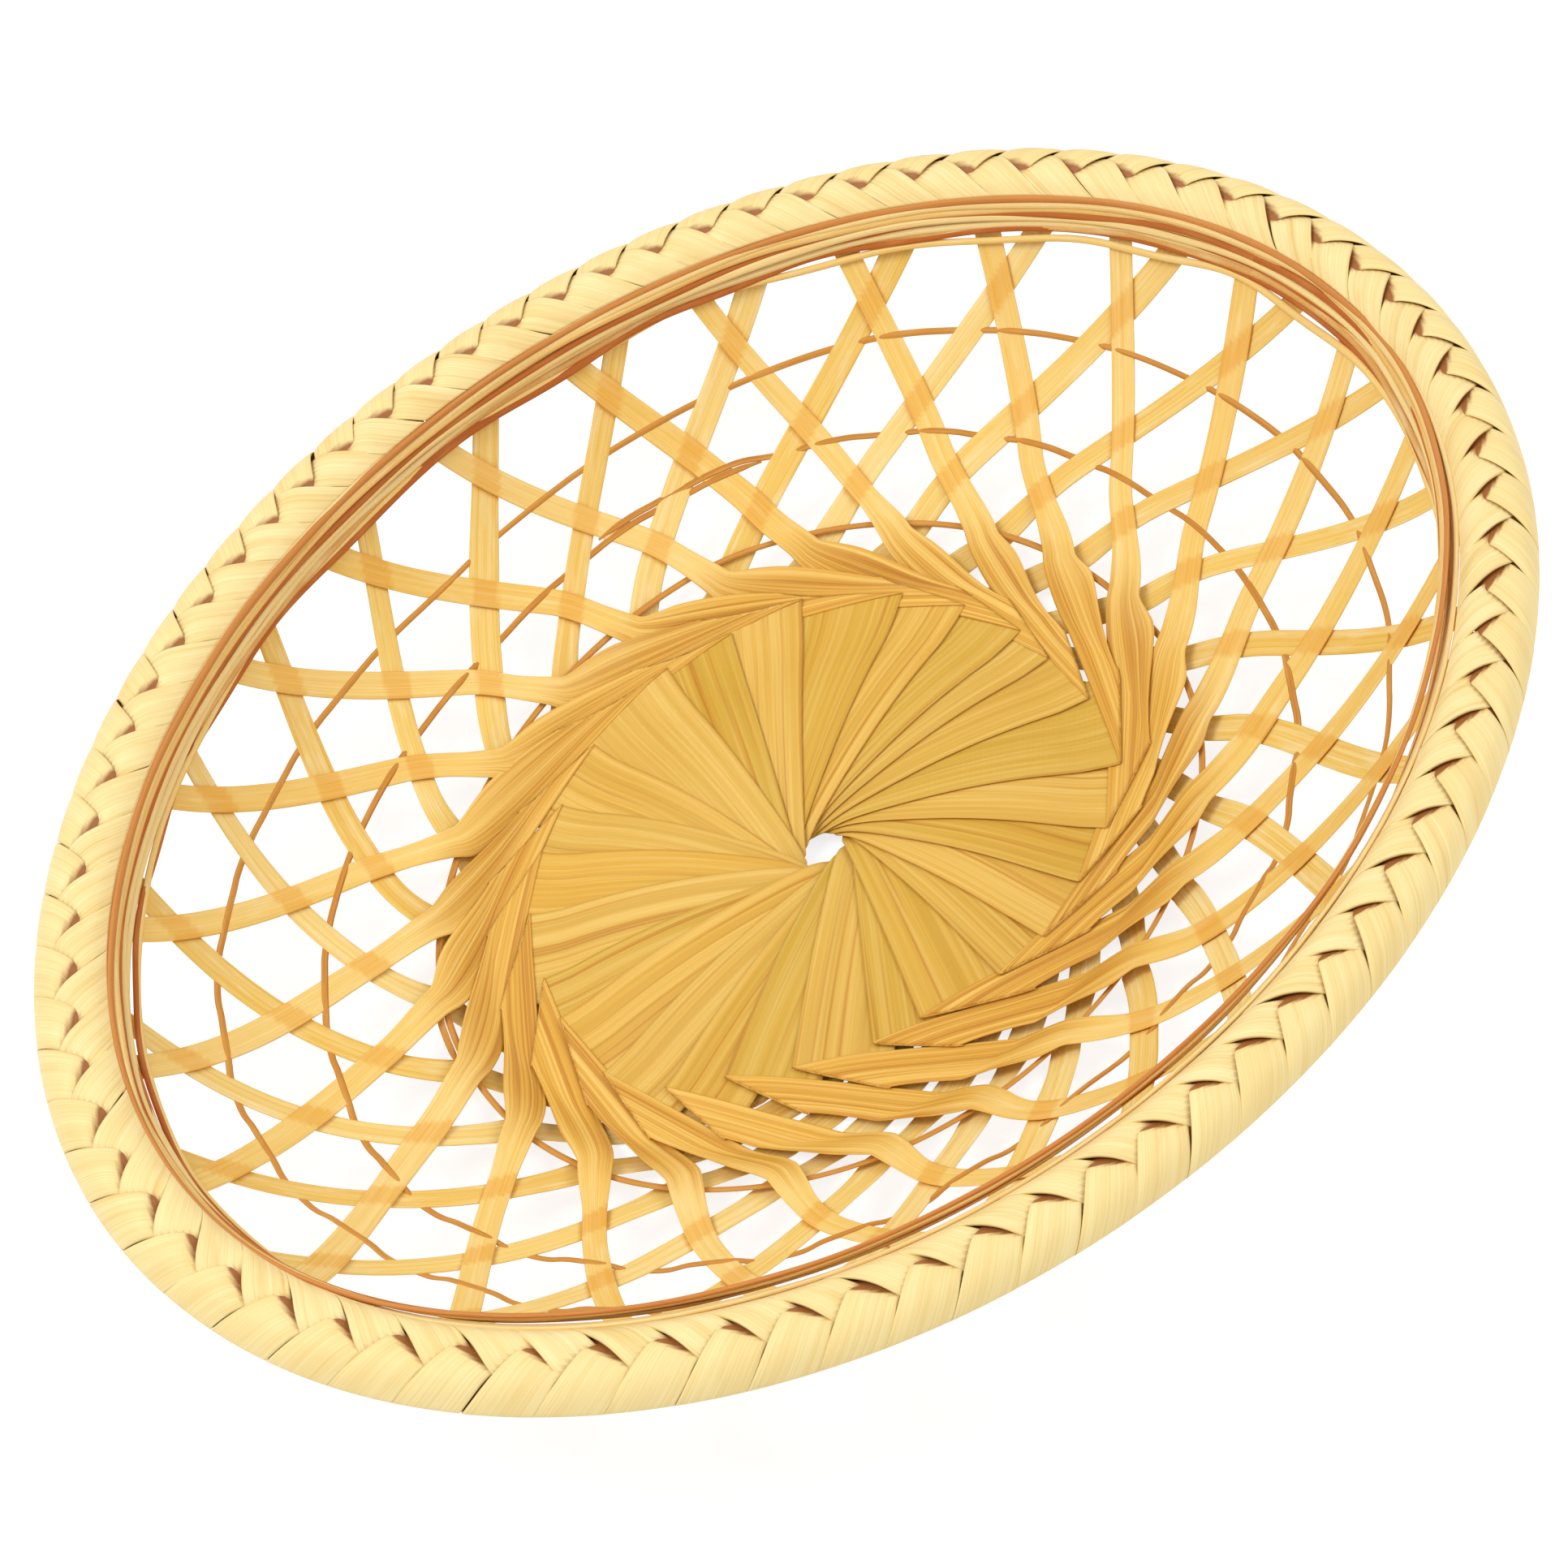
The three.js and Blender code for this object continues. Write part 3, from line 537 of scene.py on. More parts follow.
def end_grid(end, direction, rows, creases, crease_phase):
    """Centre points, normals, thickness, painted shade, zone and folded over one end of a stake."""
    rights, lefts, folded, thick = rows
    xy = mix(rights[:, None], lefts[:, None], ACROSS[None, :, None])
    r, phi = polar(xy[..., 0], xy[..., 1])
    folded = folded[:, None]
    if end == HEADS:
        angle = direction + phi
        offset = head_offset(r, phi, direction, folded)
        fold_row = int(np.argmax(folded > 0))
        from_fold = np.arange(len(rights)) - fold_row
        ease = ramp(0, CREASE_ROWS, from_fold)[:, None] * (1 - ramp(*CREASE_ENDS, r))
        crease = np.sin(ACROSS * 2 * math.pi * creases + crease_phase)[None, :]
        offset = offset + CREASE_DEPTH * crease * ease * folded
        zone = np.where(folded > 0, mix(ON_BAND, ON_WALL, ramp(*HEAD_BAND_ENDS, r)), ON_BLADE)
    else:
        angle = direction + 180 - phi
        offset = tail_offset(r, phi)
        zone = mix(ON_BLADE, ON_WALL, ramp(*TAIL_BLADE_ENDS, r))
    normal = surface_normal(r, angle)
    normal[r < SEAT_OUT - 1] = (0, 0, 1)
    # Painted shade where the strips of the wall cross
    shade = crossing_shade(r, angle, TAILS if end == HEADS else HEADS)
    points = surface(r, angle) + normal * offset[..., None]
    # Behind the fold the strip lies upside down.
    normal = normal * np.where(folded > 0.5, -1.0, 1.0)[..., None]
    return points, normal, thick, shade, zone, folded[:, 0]


def make_stake(k, material):
    rng = np.random.default_rng(900 + k)
    direction = FIRST + k * PITCH
    creases = rng.uniform(*CREASES)
    crease_phase = rng.uniform(0, 6.28)
    head = end_grid(HEADS, direction, head_rows(k, rng), creases, crease_phase)
    tail = end_grid(TAILS, direction, tail_rows(k, rng), 0, 0)
    # One more section makes the fold round.
    points, folded = head[0], head[-1]
    first = int(np.argmax(folded > 0.5))
    outward = unit(points[first - 1] - points[first - 2])
    middle = (points[first - 1] + points[first]) / 2 + outward * FOLD_OUT
    section = (middle, outward, FOLD_THICK, 0, ON_FOLD)
    head = [np.insert(rows, first, row, axis=0) for rows, row in zip(head, section)]
    # The tail runs in to the middle of the base, where the head takes over.
    points, normal, thick, shade, zone = [np.concatenate([t[:0:-1], h]) for t, h in zip(tail, head)]
    length = path_length(points[:, len(ACROSS) // 2])
    half = thick[:, None] / 2 * ROUNDING
    seed = rng.uniform(0, 50)
    part = strip_part(points, normal, half, length, ACROSS * BLADE_GRAIN, seed, shade, zone)
    add_mesh("strip_%02d" % (k + 1), [part], material, "stake_%02d" % (k + 1))


# Materials

# Height of the fibres in the bump, in millimetres
FIBRE_DEPTH = 0.25

# Distance from a blade's middle where the painted shadow along its edge begins, in units of grain, and its
# gain
BLADE_EDGE_SHADE, BLADE_EDGE_SHADE_GAIN = 4.55, 3.0


def new_material(name):
    material = bpy.data.materials.new(name)
    material.use_nodes = True
    tree = material.node_tree
    tree.nodes.clear()
    return material, tree


class Nodes:
    """Small helper that adds nodes to a tree and links them."""

    def __init__(self, tree):
        self.tree = tree

    def add(self, kind, values=None, settings=None):
        node = self.tree.nodes.new(kind)
        for key, value in (settings or {}).items():
            setattr(node, key, value)
        for key, value in (values or {}).items():
            socket = node.inputs[key]
            if isinstance(value, bpy.types.NodeSocket):
                self.tree.links.new(value, socket)
            else:
                socket.default_value = value
        return node

    def math(self, operation, a, b=0.0, clamp=False):
        settings = {"operation": operation, "use_clamp": clamp}
        return self.add("ShaderNodeMath", {0: a, 1: b}, settings).outputs[0]

    def scaled(self, vector, scale):
        settings = {"operation": "MULTIPLY"}
        return self.add("ShaderNodeVectorMath", {0: vector, 1: scale}, settings).outputs[0]

    def separate(self, vector):
        return self.add("ShaderNodeSeparateXYZ", {0: vector}).outputs

    def attribute(self, name):
        return self.add("ShaderNodeAttribute", None, {"attribute_name": name}).outputs["Vector"]

    def level(self, value, start, gain):
        """0 up to start, then rising by gain, up to 1."""
        return self.math("MULTIPLY", self.math("SUBTRACT", value, start), gain, True)

    def mix(self, factor, a, b, blend="MIX"):
        settings = {"data_type": "RGBA", "blend_type": blend, "clamp_factor": True}
        return self.add("ShaderNodeMix", {0: factor, 6: a, 7: b}, settings).outputs[2]

    def ramp(self, factor, stops):
        node = self.add("ShaderNodeValToRGB", {0: factor})
        band = node.color_ramp
        while len(band.elements) < len(stops):
            band.elements.new(0.5)
        for element, (position, colour) in zip(band.elements, stops):
            element.position = position
            element.color = colour
        return node.outputs[0]

    def noise(self, vector, scale, detail=3.0, rough=0.55):
        """Noise of a vector in mm, stretched by a scale for each of its axes."""
        values = {"Vector": self.scaled(vector, scale), "Scale": 1.0}
        values.update({"Detail": detail, "Roughness": rough})
        return self.add("ShaderNodeTexNoise", values).outputs[0]


def srgb(red, green, blue):
    def linear(c):
        c /= 255
        return c / 12.92 if c <= 0.04045 else ((c + 0.055) / 1.055) ** 2.4

    return (linear(red), linear(green), linear(blue), 1)


def bamboo(name, colours, fibre=1.0, gloss=0.5, bump=0.35, dark_fibres=0.4, spread=0.35, solid=False):
    """Split bamboo: long fibres along the strip, a tint for each strip, the tint of its lower face,
    and tints where it is creased to a band or lies in the base, with painted shade where it crosses
    another strip and in other shaded places, and painted shadow along the edges of blades and bands.
    A solid node of the CAD model has no grain of its own and takes it from its place."""
    material, tree = new_material(name)
    n = Nodes(tree)

    def tints(factor, positions, names):
        return n.ramp(factor, [(position, colours[tint]) for position, tint in zip(positions, names)])

    if solid:
        place = n.add("ShaderNodeTexCoord").outputs["Object"]
        grain = n.scaled(place, (1 / MM, 1 / MM, 1 / MM))
    else:
        grain = n.attribute("grain")
    shade, side, zone = n.separate(n.attribute("tone"))
    _, place_across, seed = n.separate(grain)

    wide = n.noise(grain, (0.006, 0.6 * fibre, 1), 2.0)
    streak = n.noise(grain, (0.013, 2.3 * fibre, 1), 3.0, 0.65)
    fine = n.noise(grain, (0.04, 7.5 * fibre, 1), 3.0, 0.7)
    cloud = n.noise(grain, (0.11, 0.28, 1), 2.0)
    body = n.math("ADD", n.math("MULTIPLY", wide, 0.5), n.math("MULTIPLY", streak, 0.5))
    colour = tints(body, (0.34, 0.47, 0.66), ("dark", "middle", "light"))
    own = n.add("ShaderNodeTexWhiteNoise", {"W": seed}, {"noise_dimensions": "1D"}).outputs[0]
    strip_tint = tints(own, (0.0, 0.5, 1.0), ("tint_a", "middle", "tint_b"))
    colour = n.mix(spread, colour, strip_tint)
    colour = n.mix(n.level(cloud, 0.5, 2.2), colour, colours["light"])
    colour = n.mix(n.math("MULTIPLY", n.math("SUBTRACT", 1.0, side), 0.35), colour, colours["reverse"])
    if "blade" in colours:
        creased = tints(body, (0.38, 0.48, 0.6), ("band_dark", "band", "band_light"))
        blade = tints(body, (0.41, 0.495, 0.58), ("blade_dark", "blade", "blade_light"))
        blade_names = ("blade_green", "blade", "blade_light", "blade_gold")
        blade_tint = tints(own, (0.0, 0.3, 0.65, 1.0), blade_names)
        blade = n.mix(0.5, blade, blade_tint)
        from_band = n.math("ABSOLUTE", n.math("SUBTRACT", zone, float(ON_BAND)))
        on_band = n.math("SUBTRACT", 1.0, from_band, True)
        on_blade = n.math("SUBTRACT", zone, float(ON_BAND), True)
        colour = n.mix(n.math("MULTIPLY", on_band, 0.85), colour, creased)
        colour = n.mix(n.math("MULTIPLY", on_blade, 0.95), colour, blade)
        # A few long orange-brown fibres run along the blades and bands.
        stain = n.level(n.noise(grain, (0.01, 1.5, 1), 1.0), 0.6, 9.0)
        flat = n.math("MINIMUM", zone, float(ON_BAND))
        stain = n.math("MULTIPLY", n.math("MULTIPLY", stain, flat), 0.6)
        colour = n.mix(stain, colour, colours["band_dark"])
        # Painted shadow: they are darker along their edges, some more than others.
        place_across = n.math("MODULO", place_across, REVERSE_GRAIN)
        from_middle = n.math("ABSOLUTE", n.math("SUBTRACT", place_across, BLADE_GRAIN / 2))
        edge = n.math("MULTIPLY", n.level(from_middle, BLADE_EDGE_SHADE, BLADE_EDGE_SHADE_GAIN), flat)
        strength = n.math("MAXIMUM", n.level(own, 0.55, 3.0), on_band)
        edge = n.math("MULTIPLY", edge, strength)
        colour = n.mix(n.math("MULTIPLY", edge, n.level(cloud, 0.3, 2.5)), colour, colours["dark"])
    thin = n.math("SUBTRACT", 1.0, n.level(fine, 0.36, 4.0))
    colour = n.mix(n.math("MULTIPLY", thin, dark_fibres), colour, colours["dark"])
    # Painted shade: the shade attribute darkens crossings, the plait's notches and some rim splints.
    if "crossing" in colours:
        colour = n.mix(n.math("MULTIPLY", shade, 0.9), colour, colours["crossing"], "MULTIPLY")

    height = n.math("ADD", n.math("MULTIPLY", fine, 0.5), n.math("MULTIPLY", streak, 0.8))
    relief = n.add("ShaderNodeBump", {"Height": height, "Strength": bump, "Distance": FIBRE_DEPTH * MM})
    rough = n.math("ADD", n.math("MULTIPLY", streak, 0.2), gloss)
    values = {"Base Color": colour, "Roughness": rough, "Normal": relief.outputs[0]}
    values["Specular IOR Level"] = 0.35
    shader = n.add("ShaderNodeBsdfPrincipled", values)
    n.add("ShaderNodeOutputMaterial", {"Surface": shader.outputs[0]})
    return material


BLADE = bamboo("blade_bamboo", {
    "light": srgb(255, 242, 190),
    "middle": srgb(247, 211, 110),
    "dark": srgb(222, 164, 60),
    "tint_a": srgb(234, 184, 74),
    "tint_b": srgb(255, 234, 170),
    "reverse": srgb(250, 210, 120),
    "band_dark": srgb(178, 104, 16),
    "band": srgb(219, 159, 46),
    "band_light": srgb(244, 202, 104),
    "blade_dark": srgb(188, 142, 38),
    "blade": srgb(212, 168, 62),
    "blade_light": srgb(232, 196, 106),
    "blade_green": srgb(196, 166, 58),
    "blade_gold": srgb(230, 176, 62),
    # Painted shade where the strips cross
    "crossing": srgb(248, 226, 186),
}, dark_fibres=0.5, spread=0.5)
HOOP = bamboo("hoop_bamboo", {
    "light": srgb(240, 184, 92),
    "middle": srgb(214, 144, 54),
    "dark": srgb(146, 80, 22),
    "tint_a": srgb(190, 116, 38),
    "tint_b": srgb(240, 184, 92),
    "reverse": srgb(206, 136, 54),
}, fibre=1.6, gloss=0.55, spread=0.5)
RIM = bamboo("rim_splint_bamboo", {
    "light": srgb(255, 240, 180),
    "middle": srgb(254, 218, 124),
    "dark": srgb(196, 118, 38),
    "tint_a": srgb(196, 112, 28),
    "tint_b": srgb(255, 242, 184),
    "reverse": srgb(240, 184, 92),
    # Painted shade for the darker splints
    "crossing": srgb(212, 146, 84),
}, fibre=1.6, gloss=0.55, spread=0.7)
PLAIT = bamboo("plait_bamboo", {
    "light": srgb(255, 240, 182),
    "middle": srgb(246, 221, 152),
    "dark": srgb(226, 184, 102),
    "tint_a": srgb(238, 206, 134),
    "tint_b": srgb(255, 238, 178),
    "reverse": srgb(247, 220, 148),
    # Painted shade in the plait's notches and under its ribbons
    "crossing": srgb(160, 92, 36),
}, fibre=0.7, gloss=0.42, bump=0.2, dark_fibres=0.35)
CORE = bamboo("core_bamboo", {
    "light": srgb(226, 180, 92),
    "middle": srgb(196, 140, 58),
    "dark": srgb(140, 86, 26),
    "tint_a": srgb(196, 140, 58),
    "tint_b": srgb(212, 160, 68),
    "reverse": srgb(196, 140, 58),
}, fibre=0.4, gloss=0.6, solid=True)

for k in range(STAKES):
    make_stake(k, BLADE)


# Hoops. Each is a long splint that runs round and past its own beginning.

# Places across a splint in shares of its width, and its thickness there
SPLINT_SHARES = np.linspace(-0.5, 0.5, 5)
SPLINT_BOW = np.array([0.3, 0.85, 1, 0.85, 0.3])

# Width of a hoop and of its tapered ends, and half its thickness
HOOP_WIDTH, HOOP_END_WIDTH, HOOP_HALF = 1.05, 0.4, 0.22

# How far a hoop wanders up and down, how much its width wavers, and how far it weaves in and out.
# The lower hoop lies straight between the heads and the tails.
HOOP_WANDER, HOOP_WAVER, WOVEN_REACH = 0.35, 0.12, 0.48

# Where a hoop laps over its beginning, it lies higher on the wall and farther in by these amounts.
LAP_RISE, LAP_LIFT = 1.3, 0.15


def splint_part(centre, normal, width, half, seed, ring, shade=0):
    """A flat splint along a line of centre points. Its width may change along it."""
    if ring:
        ahead = unit(np.roll(centre, -1, 0) - np.roll(centre, 1, 0))
    else:
        ahead = unit(np.gradient(centre, axis=0))
    side = unit(np.cross(normal, ahead))
    up = unit(np.cross(ahead, side))
    across = SPLINT_SHARES[None, :] * width[:, None]
    grid = centre[:, None] + side[:, None] * across[..., None]
    normals = np.repeat(up[:, None], len(SPLINT_SHARES), 1)
    length, across = path_length(centre), across * SPLINT_GRAIN
    return strip_part(grid, normals, half * SPLINT_BOW, length, across, seed, shade, ON_WALL, ring)


def wall_line(r, angle, lift):
    """Points at a height over the surface, and the surface's normals there."""
    normal = surface_normal(r, angle)
    return surface(r, angle) + normal * lift[:, None], normal


def weave(r, angle):
    """A soft wave that is near 1 where a hoop passes inside a head and near -1 outside a tail."""
    waves = []
    for end in (HEADS, TAILS):
        _, away = nearest_stake(end, r, angle)
        waves.append(np.cos(2 * np.pi * away / PITCH))
    return np.tanh(waves[0] - waves[1])


def make_hoop(name, places, start, lap, reach, seed):
    """A hoop through places given as oval angle and distance, whose ends lap past each other. It
    weaves in and out by its reach."""
    stop = start + 360 + lap
    angle = np.linspace(start, stop, 1600)
    known = np.concatenate([np.array(places) + (turn, 0) for turn in (-360, 0, 360, 720)])
    # The line through the places is smoothed over some degrees.
    spread = np.linspace(-9, 9, 13)
    weight = np.exp(-(spread / 5) ** 2)
    lines = [w * np.interp(angle + d, known[:, 0], known[:, 1]) for w, d in zip(weight, spread)]
    second = ramp(start + 356, start + 364, angle)
    r = sum(lines) / weight.sum() + HOOP_WANDER * ring_noise(seed, angle, 9) + LAP_RISE * second
    centre, normal = wall_line(r, angle, reach * weave(r, angle) + LAP_LIFT * second)
    taper = ramp(start, start + 3, angle) * ramp(stop, stop - 3, angle)
    width = mix(HOOP_END_WIDTH, HOOP_WIDTH, taper)
    width = width * (1 + HOOP_WAVER * ring_noise(seed + 1, angle, 12))
    part = splint_part(centre, normal, width, HOOP_HALF, seed, False)
    add_mesh("splint_" + name, [part], HOOP, name)


make_hoop("upper_hoop", [
    (4, 98.8), (41, 101.1), (70, 98.4), (92, 96.5), (112, 98.4), (137, 100.3), (165, 99.6),
    (190, 97.0), (225, 97.5), (260, 99.5), (296, 101.0), (321, 99.3), (345, 98.8),
], start=236, lap=14, reach=WOVEN_REACH, seed=32)
make_hoop("middle_hoop", [
    (0, 81.0), (37, 85.5), (50, 86.3), (70, 85.3), (92, 82.4), (125, 83.4), (156, 84.5), (175, 86.4),
    (205, 85.4), (230, 85.0), (247, 81.0), (261, 79.3), (277, 80.5), (290, 83.6), (305, 83.0), (335, 81.5),
], start=54, lap=21, reach=WOVEN_REACH, seed=31)
make_hoop("lower_hoop", [
    (12, 66.6), (41, 69.0), (62, 70.3), (81, 68.8), (100, 66.8), (125, 65.6), (160, 65.8), (200, 67.0),
    (235, 66.5), (267, 64.6), (290, 64.6), (317, 65.3), (350, 65.0),
], start=150, lap=12, reach=0, seed=30)


# Plait over the rim

RIDGE_STEPS = 7200

# Radius of the arch that the plait lies on, and its reach down the inside and the outside
ARCH = 5.6
PLAIT_INNER, PLAIT_OUTER = 5.7, 8.4

# Ribbons, how far each lies over or under the middle of the plait, and half its thickness
RIBBONS = 3
RIBBON_LIFT = 0.55
RIBBON_HALF = 0.22

# Length of a ribbon in shares of the ridge
RIBBON_PATH = 1.6

# Share of a half turn in which a ribbon folds over, and how far it bulges on its way out and in
FOLD_SHARE = 0.035
OUTWARD_BULGE, INWARD_BULGE = 0.1, 0.34

# Where a ribbon dives under the next, in ribbon widths from the edge where it set out, and the sunk
# wedge beside that, darkened with painted shade: its start, slant, softness and depth
DIVE = (0.95, 1.9)
WEDGE_START, WEDGE_SLANT, WEDGE_SOFT, WEDGE_DEPTH = 1.16, 0.36, 0.07, 0.3

# Uneven lift of a ribbon in millimetres, and its shift in shares of the plait's step
PLAIT_WOBBLE, PLAIT_SHIFT = 0.05, 0.012


def ridge_table():
    """Share of the way round the ridge and its oval angle in radians, and the ridge's length."""
    a = np.linspace(0, 2 * np.pi, RIDGE_STEPS + 1)
    length = path_length(np.stack([RIDGE_A * np.cos(a), RIDGE_B * np.sin(a)], -1))
    return length / length[-1], a, length[-1]


RIDGE_SHARE, RIDGE_ANGLE, RIDGE_LENGTH = ridge_table()


def arch(share, across, lift):
    """Point and normal on the arch of the plait, from the share of the way round, even by length."""
    a = np.interp(np.mod(share, 1), RIDGE_SHARE, RIDGE_ANGLE)
    base = np.stack([RIDGE_A * np.cos(a), RIDGE_B * np.sin(a), np.full_like(a, RIDGE_Z - ARCH)], -1)
    outward = unit(np.stack([RIDGE_B * np.cos(a), RIDGE_A * np.sin(a), 0 * a], -1))
    turn = across / ARCH
    normal = outward * np.sin(turn)[..., None] + np.array([0, 0, 1.0]) * np.cos(turn)[..., None]
    return base + normal * (ARCH + lift)[..., None], normal


def make_ribbon(index):
    """A ribbon that folds over at both edges of the plait. It lies on top from an edge to the middle,
    where it dives under the ribbon that comes from the other edge."""
    # Rows of one half turn, closer together at its two folds
    half_turn = np.concatenate([
        np.linspace(0, 0.06, 3, endpoint=False),
        np.linspace(0.06, 0.94, 36, endpoint=False),
        np.linspace(0.94, 1, 3, endpoint=False),
    ])
    turns = 2 * STAKES
    local = np.tile(half_turn, turns)
    turn = np.repeat(np.arange(turns), len(half_turn))
    progress = (turn + local) / 2
    inward = (turn % 2 == 1)[:, None]
    sign = np.where(inward, -1.0, 1.0)
    columns = (ACROSS - 0.5)[None, :]
    # Place across the ribbon's own path, in ribbon widths from the edge where it set out.
    passed = RIBBONS * local[:, None] + columns
    level = 1 - 2 * ramp(*DIVE, passed)
    # Where an inward ribbon dives, it sinks into a wedge beside the outward ribbon over it, and painted
    # shade darkens the wedge.
    start = WEDGE_START + WEDGE_SLANT * (columns + 0.5)
    wedge = inward * ramp(start, start + WEDGE_SOFT, passed)
    edge = np.minimum(local, 1 - local)[:, None]
    fold = np.sqrt(np.clip(edge / FOLD_SHARE, 0, 1))
    top = ramp(0.1, 0.5, level)
    bulge = np.where(inward, INWARD_BULGE, OUTWARD_BULGE)
    bulge = bulge * (1 - (2 * columns) ** 2) * ramp(0.05, 0.3, local)[:, None]
    wobble = ring_noise(70 + index, progress * 360 / STAKES, 60)[:, None]
    lift = RIBBON_LIFT * level * fold + bulge * top - WEDGE_DEPTH * wedge + PLAIT_WOBBLE * wobble
    share = (progress[:, None] + columns / RIBBONS + index / RIBBONS + PLAIT_SHIFT * wobble) / STAKES
    place = np.where(inward, 1 - 2 * local[:, None], 2 * local[:, None] - 1)
    across = (PLAIT_OUTER + PLAIT_INNER) / 2 * place + (PLAIT_OUTER - PLAIT_INNER) / 2 * place ** 2
    across = np.broadcast_to(across, share.shape)
    points, up = arch(share, across, lift)
    # The ribbon turns over at every fold, where its section stands on edge.
    normal = up * sign[..., None]
    along_arch = unit(arch(share, across + 0.05, lift)[0] - points)
    at_fold = local < 1e-9
    normal[at_fold] = -along_arch[at_fold]
    length = progress * RIDGE_LENGTH / STAKES * RIBBON_PATH
    # Painted shade darkens the wedge and the parts that lie under other ribbons.
    shade = np.maximum(wedge, ramp(-0.2, -0.7, level))
    # The outward ribbons lie flush beside each other, and the inward ones have round edges.
    rounding = mix(1, ROUNDING, inward * ramp(0.05, 0.2, local)[:, None])
    half, across, seed = RIBBON_HALF * rounding, ACROSS * RIBBON_GRAIN, 5.3 * index + 2
    return strip_part(points, normal, half, length, across, seed, shade, ON_WALL, True)


for index in range(RIBBONS):
    name = "ribbon_%d" % (index + 1)
    add_mesh(name, [make_ribbon(index)], PLAIT, "plait_strand_%d" % (index + 1))


# Splints that bind the lattice under the plait

RIM_SPLINTS = 10
# Splints darkened with painted shade, for the shaded gaps between the strands of the bundle
SPLINTS_IN_PAINTED_SHADE = (1, 4, 5.5, 8.5)
RIM_SPLINT_R, RIM_SPLINT_STEP = 111.9, 0.5
RIM_SPLINT_LIFT, RIM_SPLINT_RISE = 1.1, 1.5
RIM_SPLINT_WIDTH, RIM_SPLINT_HALF = 1.15, 0.36

# How far the lowest splint wanders up and down, how much less the top one does, the range of their
# lift, and how much their width wavers
RIM_WANDER, RIM_STEADIER, RIM_LIFT_RANGE, RIM_WAVER = 0.6, 0.45, 0.2, 0.15

# A second layer lies over the upper splints. Towards this angle the bundle is thicker, and stands
# out from under the plait.
SECOND_ROWS = (4.5, 5.5, 6.5, 7.5, 8.5)
SECOND_LIFT = 0.45
BUNDLE_TOWARDS, BUNDLE_STAND = 262.0, (0.8, 2.4)


def rim_splint(row, layer):
    """A closed splint round the wall under the plait. Rows are counted up from the lowest, and each
    of its three noises has seeds of its own."""
    angle = np.linspace(0, 360, 1500, endpoint=False)
    level = row / (RIM_SPLINTS - 1)
    seed = int(2 * row) + 40 * layer
    thicker = ramp(0.1, 0.8, np.cos(np.radians(angle - BUNDLE_TOWARDS)))
    wander = (RIM_WANDER - RIM_STEADIER * level) * ring_noise(200 + seed, angle, 24)
    r = RIM_SPLINT_R + RIM_SPLINT_STEP * row + wander
    lift = RIM_SPLINT_LIFT + RIM_SPLINT_RISE * level + SECOND_LIFT * layer
    lift = lift + BUNDLE_STAND[layer] * thicker
    lift = lift + RIM_LIFT_RANGE * ring_noise(300 + seed, angle, 30)
    centre, normal = wall_line(r, angle, lift)
    width = RIM_SPLINT_WIDTH * (1 + RIM_WAVER * ring_noise(400 + seed, angle, 14))
    # Painted shade on some splints, for the shaded gaps between strands
    dark = float(row in SPLINTS_IN_PAINTED_SHADE)
    return splint_part(centre, normal, width, RIM_SPLINT_HALF, 7.7 * row, True, dark)


rim_rows = [(row, 0) for row in range(RIM_SPLINTS)] + [(row, 1) for row in SECOND_ROWS]
for index in range(3):
    parts = [rim_splint(row, layer) for row, layer in rim_rows[index::3]]
    add_mesh("rim_splints_%d" % (index + 1), parts, RIM, "rim_strand_%d" % (index + 1))

# The rod inside the plait keeps its solid and takes the bamboo look.
core_slot = bpy.data.objects["rim_core"].material_slots[0]
core_slot.link = "OBJECT"
core_slot.material = CORE


# Floor, light and camera

FLOOR_REACH = 3.0

# The floor as light sees it, and as the camera sees it: its own grey and glow
FLOOR_WHITE, FLOOR_GREY, FLOOR_GLOW = 0.86, 0.34, 0.78
SKY_LIGHT = 0.66

# The photograph's camera: its direction and roll in degrees, its lens and sensor in millimetres, its
# distance in metres, and the point in the middle of its frame in millimetres
AZIMUTH, ELEVATION, ROLL = -38.1, 50.8, -13.5
LENS, SENSOR = 87.73, 36
AWAY = 0.5496
TARGET = (-12.96, -10.8, 41.2)


def grey(level):
    return (level, level, level, 1)


def make_stage():
    """A white floor, which looks even to the camera and shows the basket's shadow."""
    mesh = bpy.data.meshes.new("floor")
    corners = [(x * FLOOR_REACH, y * FLOOR_REACH, 0) for x, y in ((-1, -1), (1, -1), (1, 1), (-1, 1))]
    mesh.from_pydata(corners, [], [(0, 1, 2, 3)])
    floor = bpy.data.objects.new("floor", mesh)
    link(floor)
    material, tree = new_material("floor_white")
    n = Nodes(tree)
    path = n.add("ShaderNodeLightPath")
    plain = n.add("ShaderNodeBsdfDiffuse", {"Color": grey(FLOOR_WHITE)})
    dim = n.add("ShaderNodeBsdfDiffuse", {"Color": grey(FLOOR_GREY)})
    glow = n.add("ShaderNodeEmission", {"Color": grey(1), "Strength": FLOOR_GLOW})
    seen = n.add("ShaderNodeAddShader", {0: dim.outputs[0], 1: glow.outputs[0]})
    camera_or_gloss = n.math("MAXIMUM", path.outputs["Is Camera Ray"], path.outputs["Is Glossy Ray"])
    both = n.add("ShaderNodeMixShader", {0: camera_or_gloss, 1: plain.outputs[0], 2: seen.outputs[0]})
    n.add("ShaderNodeOutputMaterial", {"Surface": both.outputs[0]})
    mesh.materials.append(material)


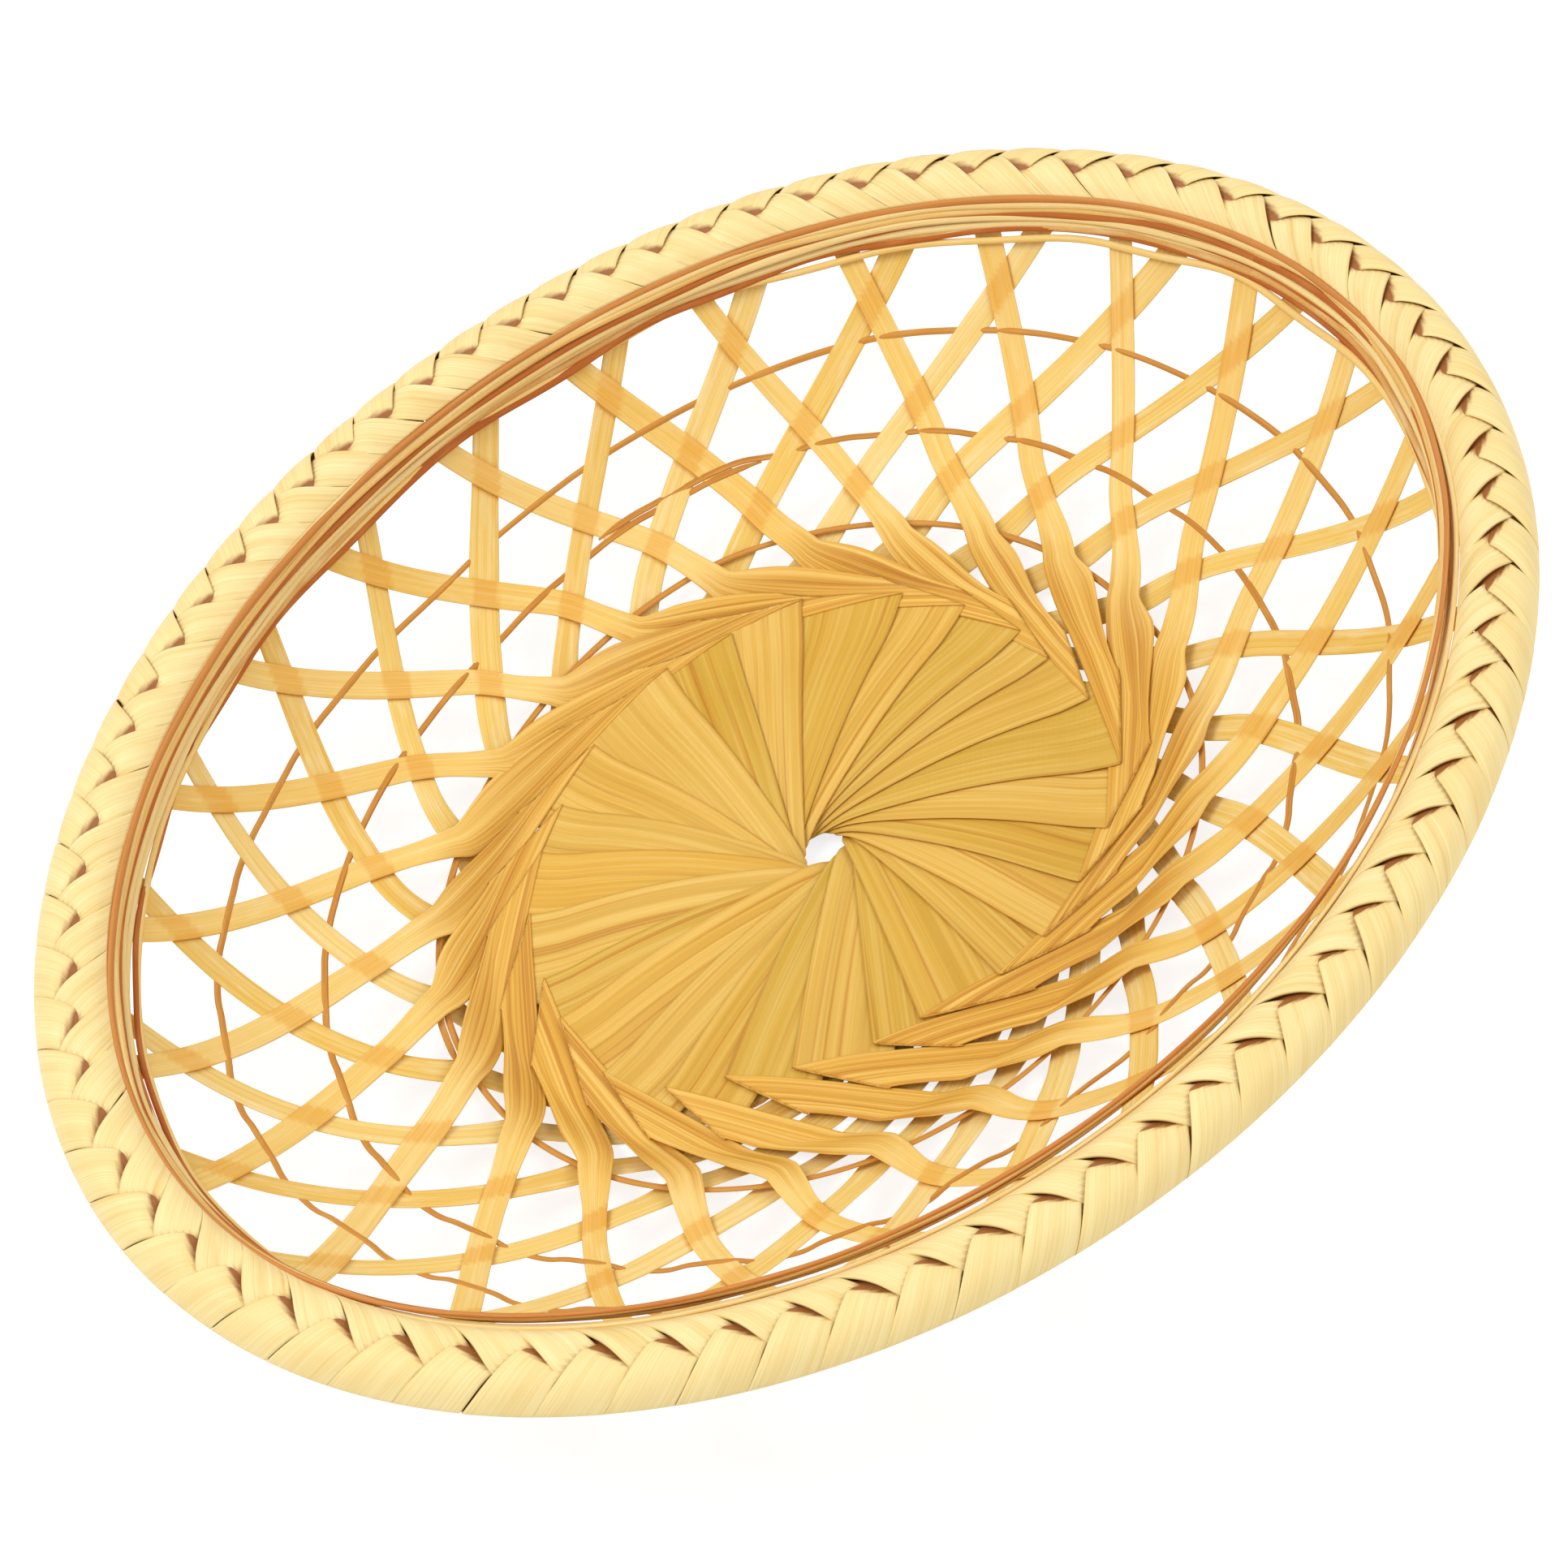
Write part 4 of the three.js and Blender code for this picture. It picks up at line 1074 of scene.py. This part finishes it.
def make_world():
    """An even white sky, softer as a light than the camera sees it."""
    world = bpy.data.worlds.new("studio")
    world.use_nodes = True
    world.node_tree.nodes.clear()
    n = Nodes(world.node_tree)
    path = n.add("ShaderNodeLightPath")
    soft = n.add("ShaderNodeBackground", {"Color": grey(1), "Strength": SKY_LIGHT})
    white = n.add("ShaderNodeBackground", {"Color": grey(1), "Strength": 1.0})
    seen = path.outputs["Is Camera Ray"]
    both = n.add("ShaderNodeMixShader", {0: seen, 1: soft.outputs[0], 2: white.outputs[0]})
    n.add("ShaderNodeOutputWorld", {"Surface": both.outputs[0]})
    bpy.context.scene.world = world


def add_lamp(name, place, size, power):
    """A round lamp that shines at the middle of the basket's foot. Its place is in metres."""
    lamp = bpy.data.lights.new(name, "AREA")
    lamp.shape = "DISK"
    lamp.size = size
    lamp.energy = power
    lamp.color = (1, 1, 1)
    ob = bpy.data.objects.new(name, lamp)
    ob.location = place
    ob.rotation_euler = (-Vector(place)).to_track_quat("-Z", "Y").to_euler()
    link(ob)


def make_camera():
    azimuth, elevation, roll = [math.radians(turn) for turn in (AZIMUTH, ELEVATION, ROLL)]
    back = Vector((
        math.sin(azimuth) * math.cos(elevation),
        -math.cos(azimuth) * math.cos(elevation),
        math.sin(elevation),
    ))
    right = Vector((math.cos(azimuth), math.sin(azimuth), 0))
    up = back.cross(right)
    c, s = math.cos(-roll), math.sin(-roll)
    x, y = right * c - up * s, right * s + up * c
    camera = bpy.data.cameras.new("camera")
    camera.sensor_width = SENSOR
    camera.sensor_fit = "HORIZONTAL"
    camera.lens = LENS
    camera.clip_start = 0.01
    ob = bpy.data.objects.new("camera", camera)
    place = Matrix.Translation(Vector(TARGET) * MM + back * AWAY)
    ob.matrix_world = place @ Matrix((x, y, back)).transposed().to_4x4()
    link(ob)
    bpy.context.scene.camera = ob


make_stage()
make_world()
add_lamp("key", (-0.55, 0.35, 1.15), 0.7, 7.8)
add_lamp("fill", (0.7, -0.7, 0.9), 0.9, 4.2)
make_camera()
bpy.context.scene.view_settings.view_transform = "Standard"
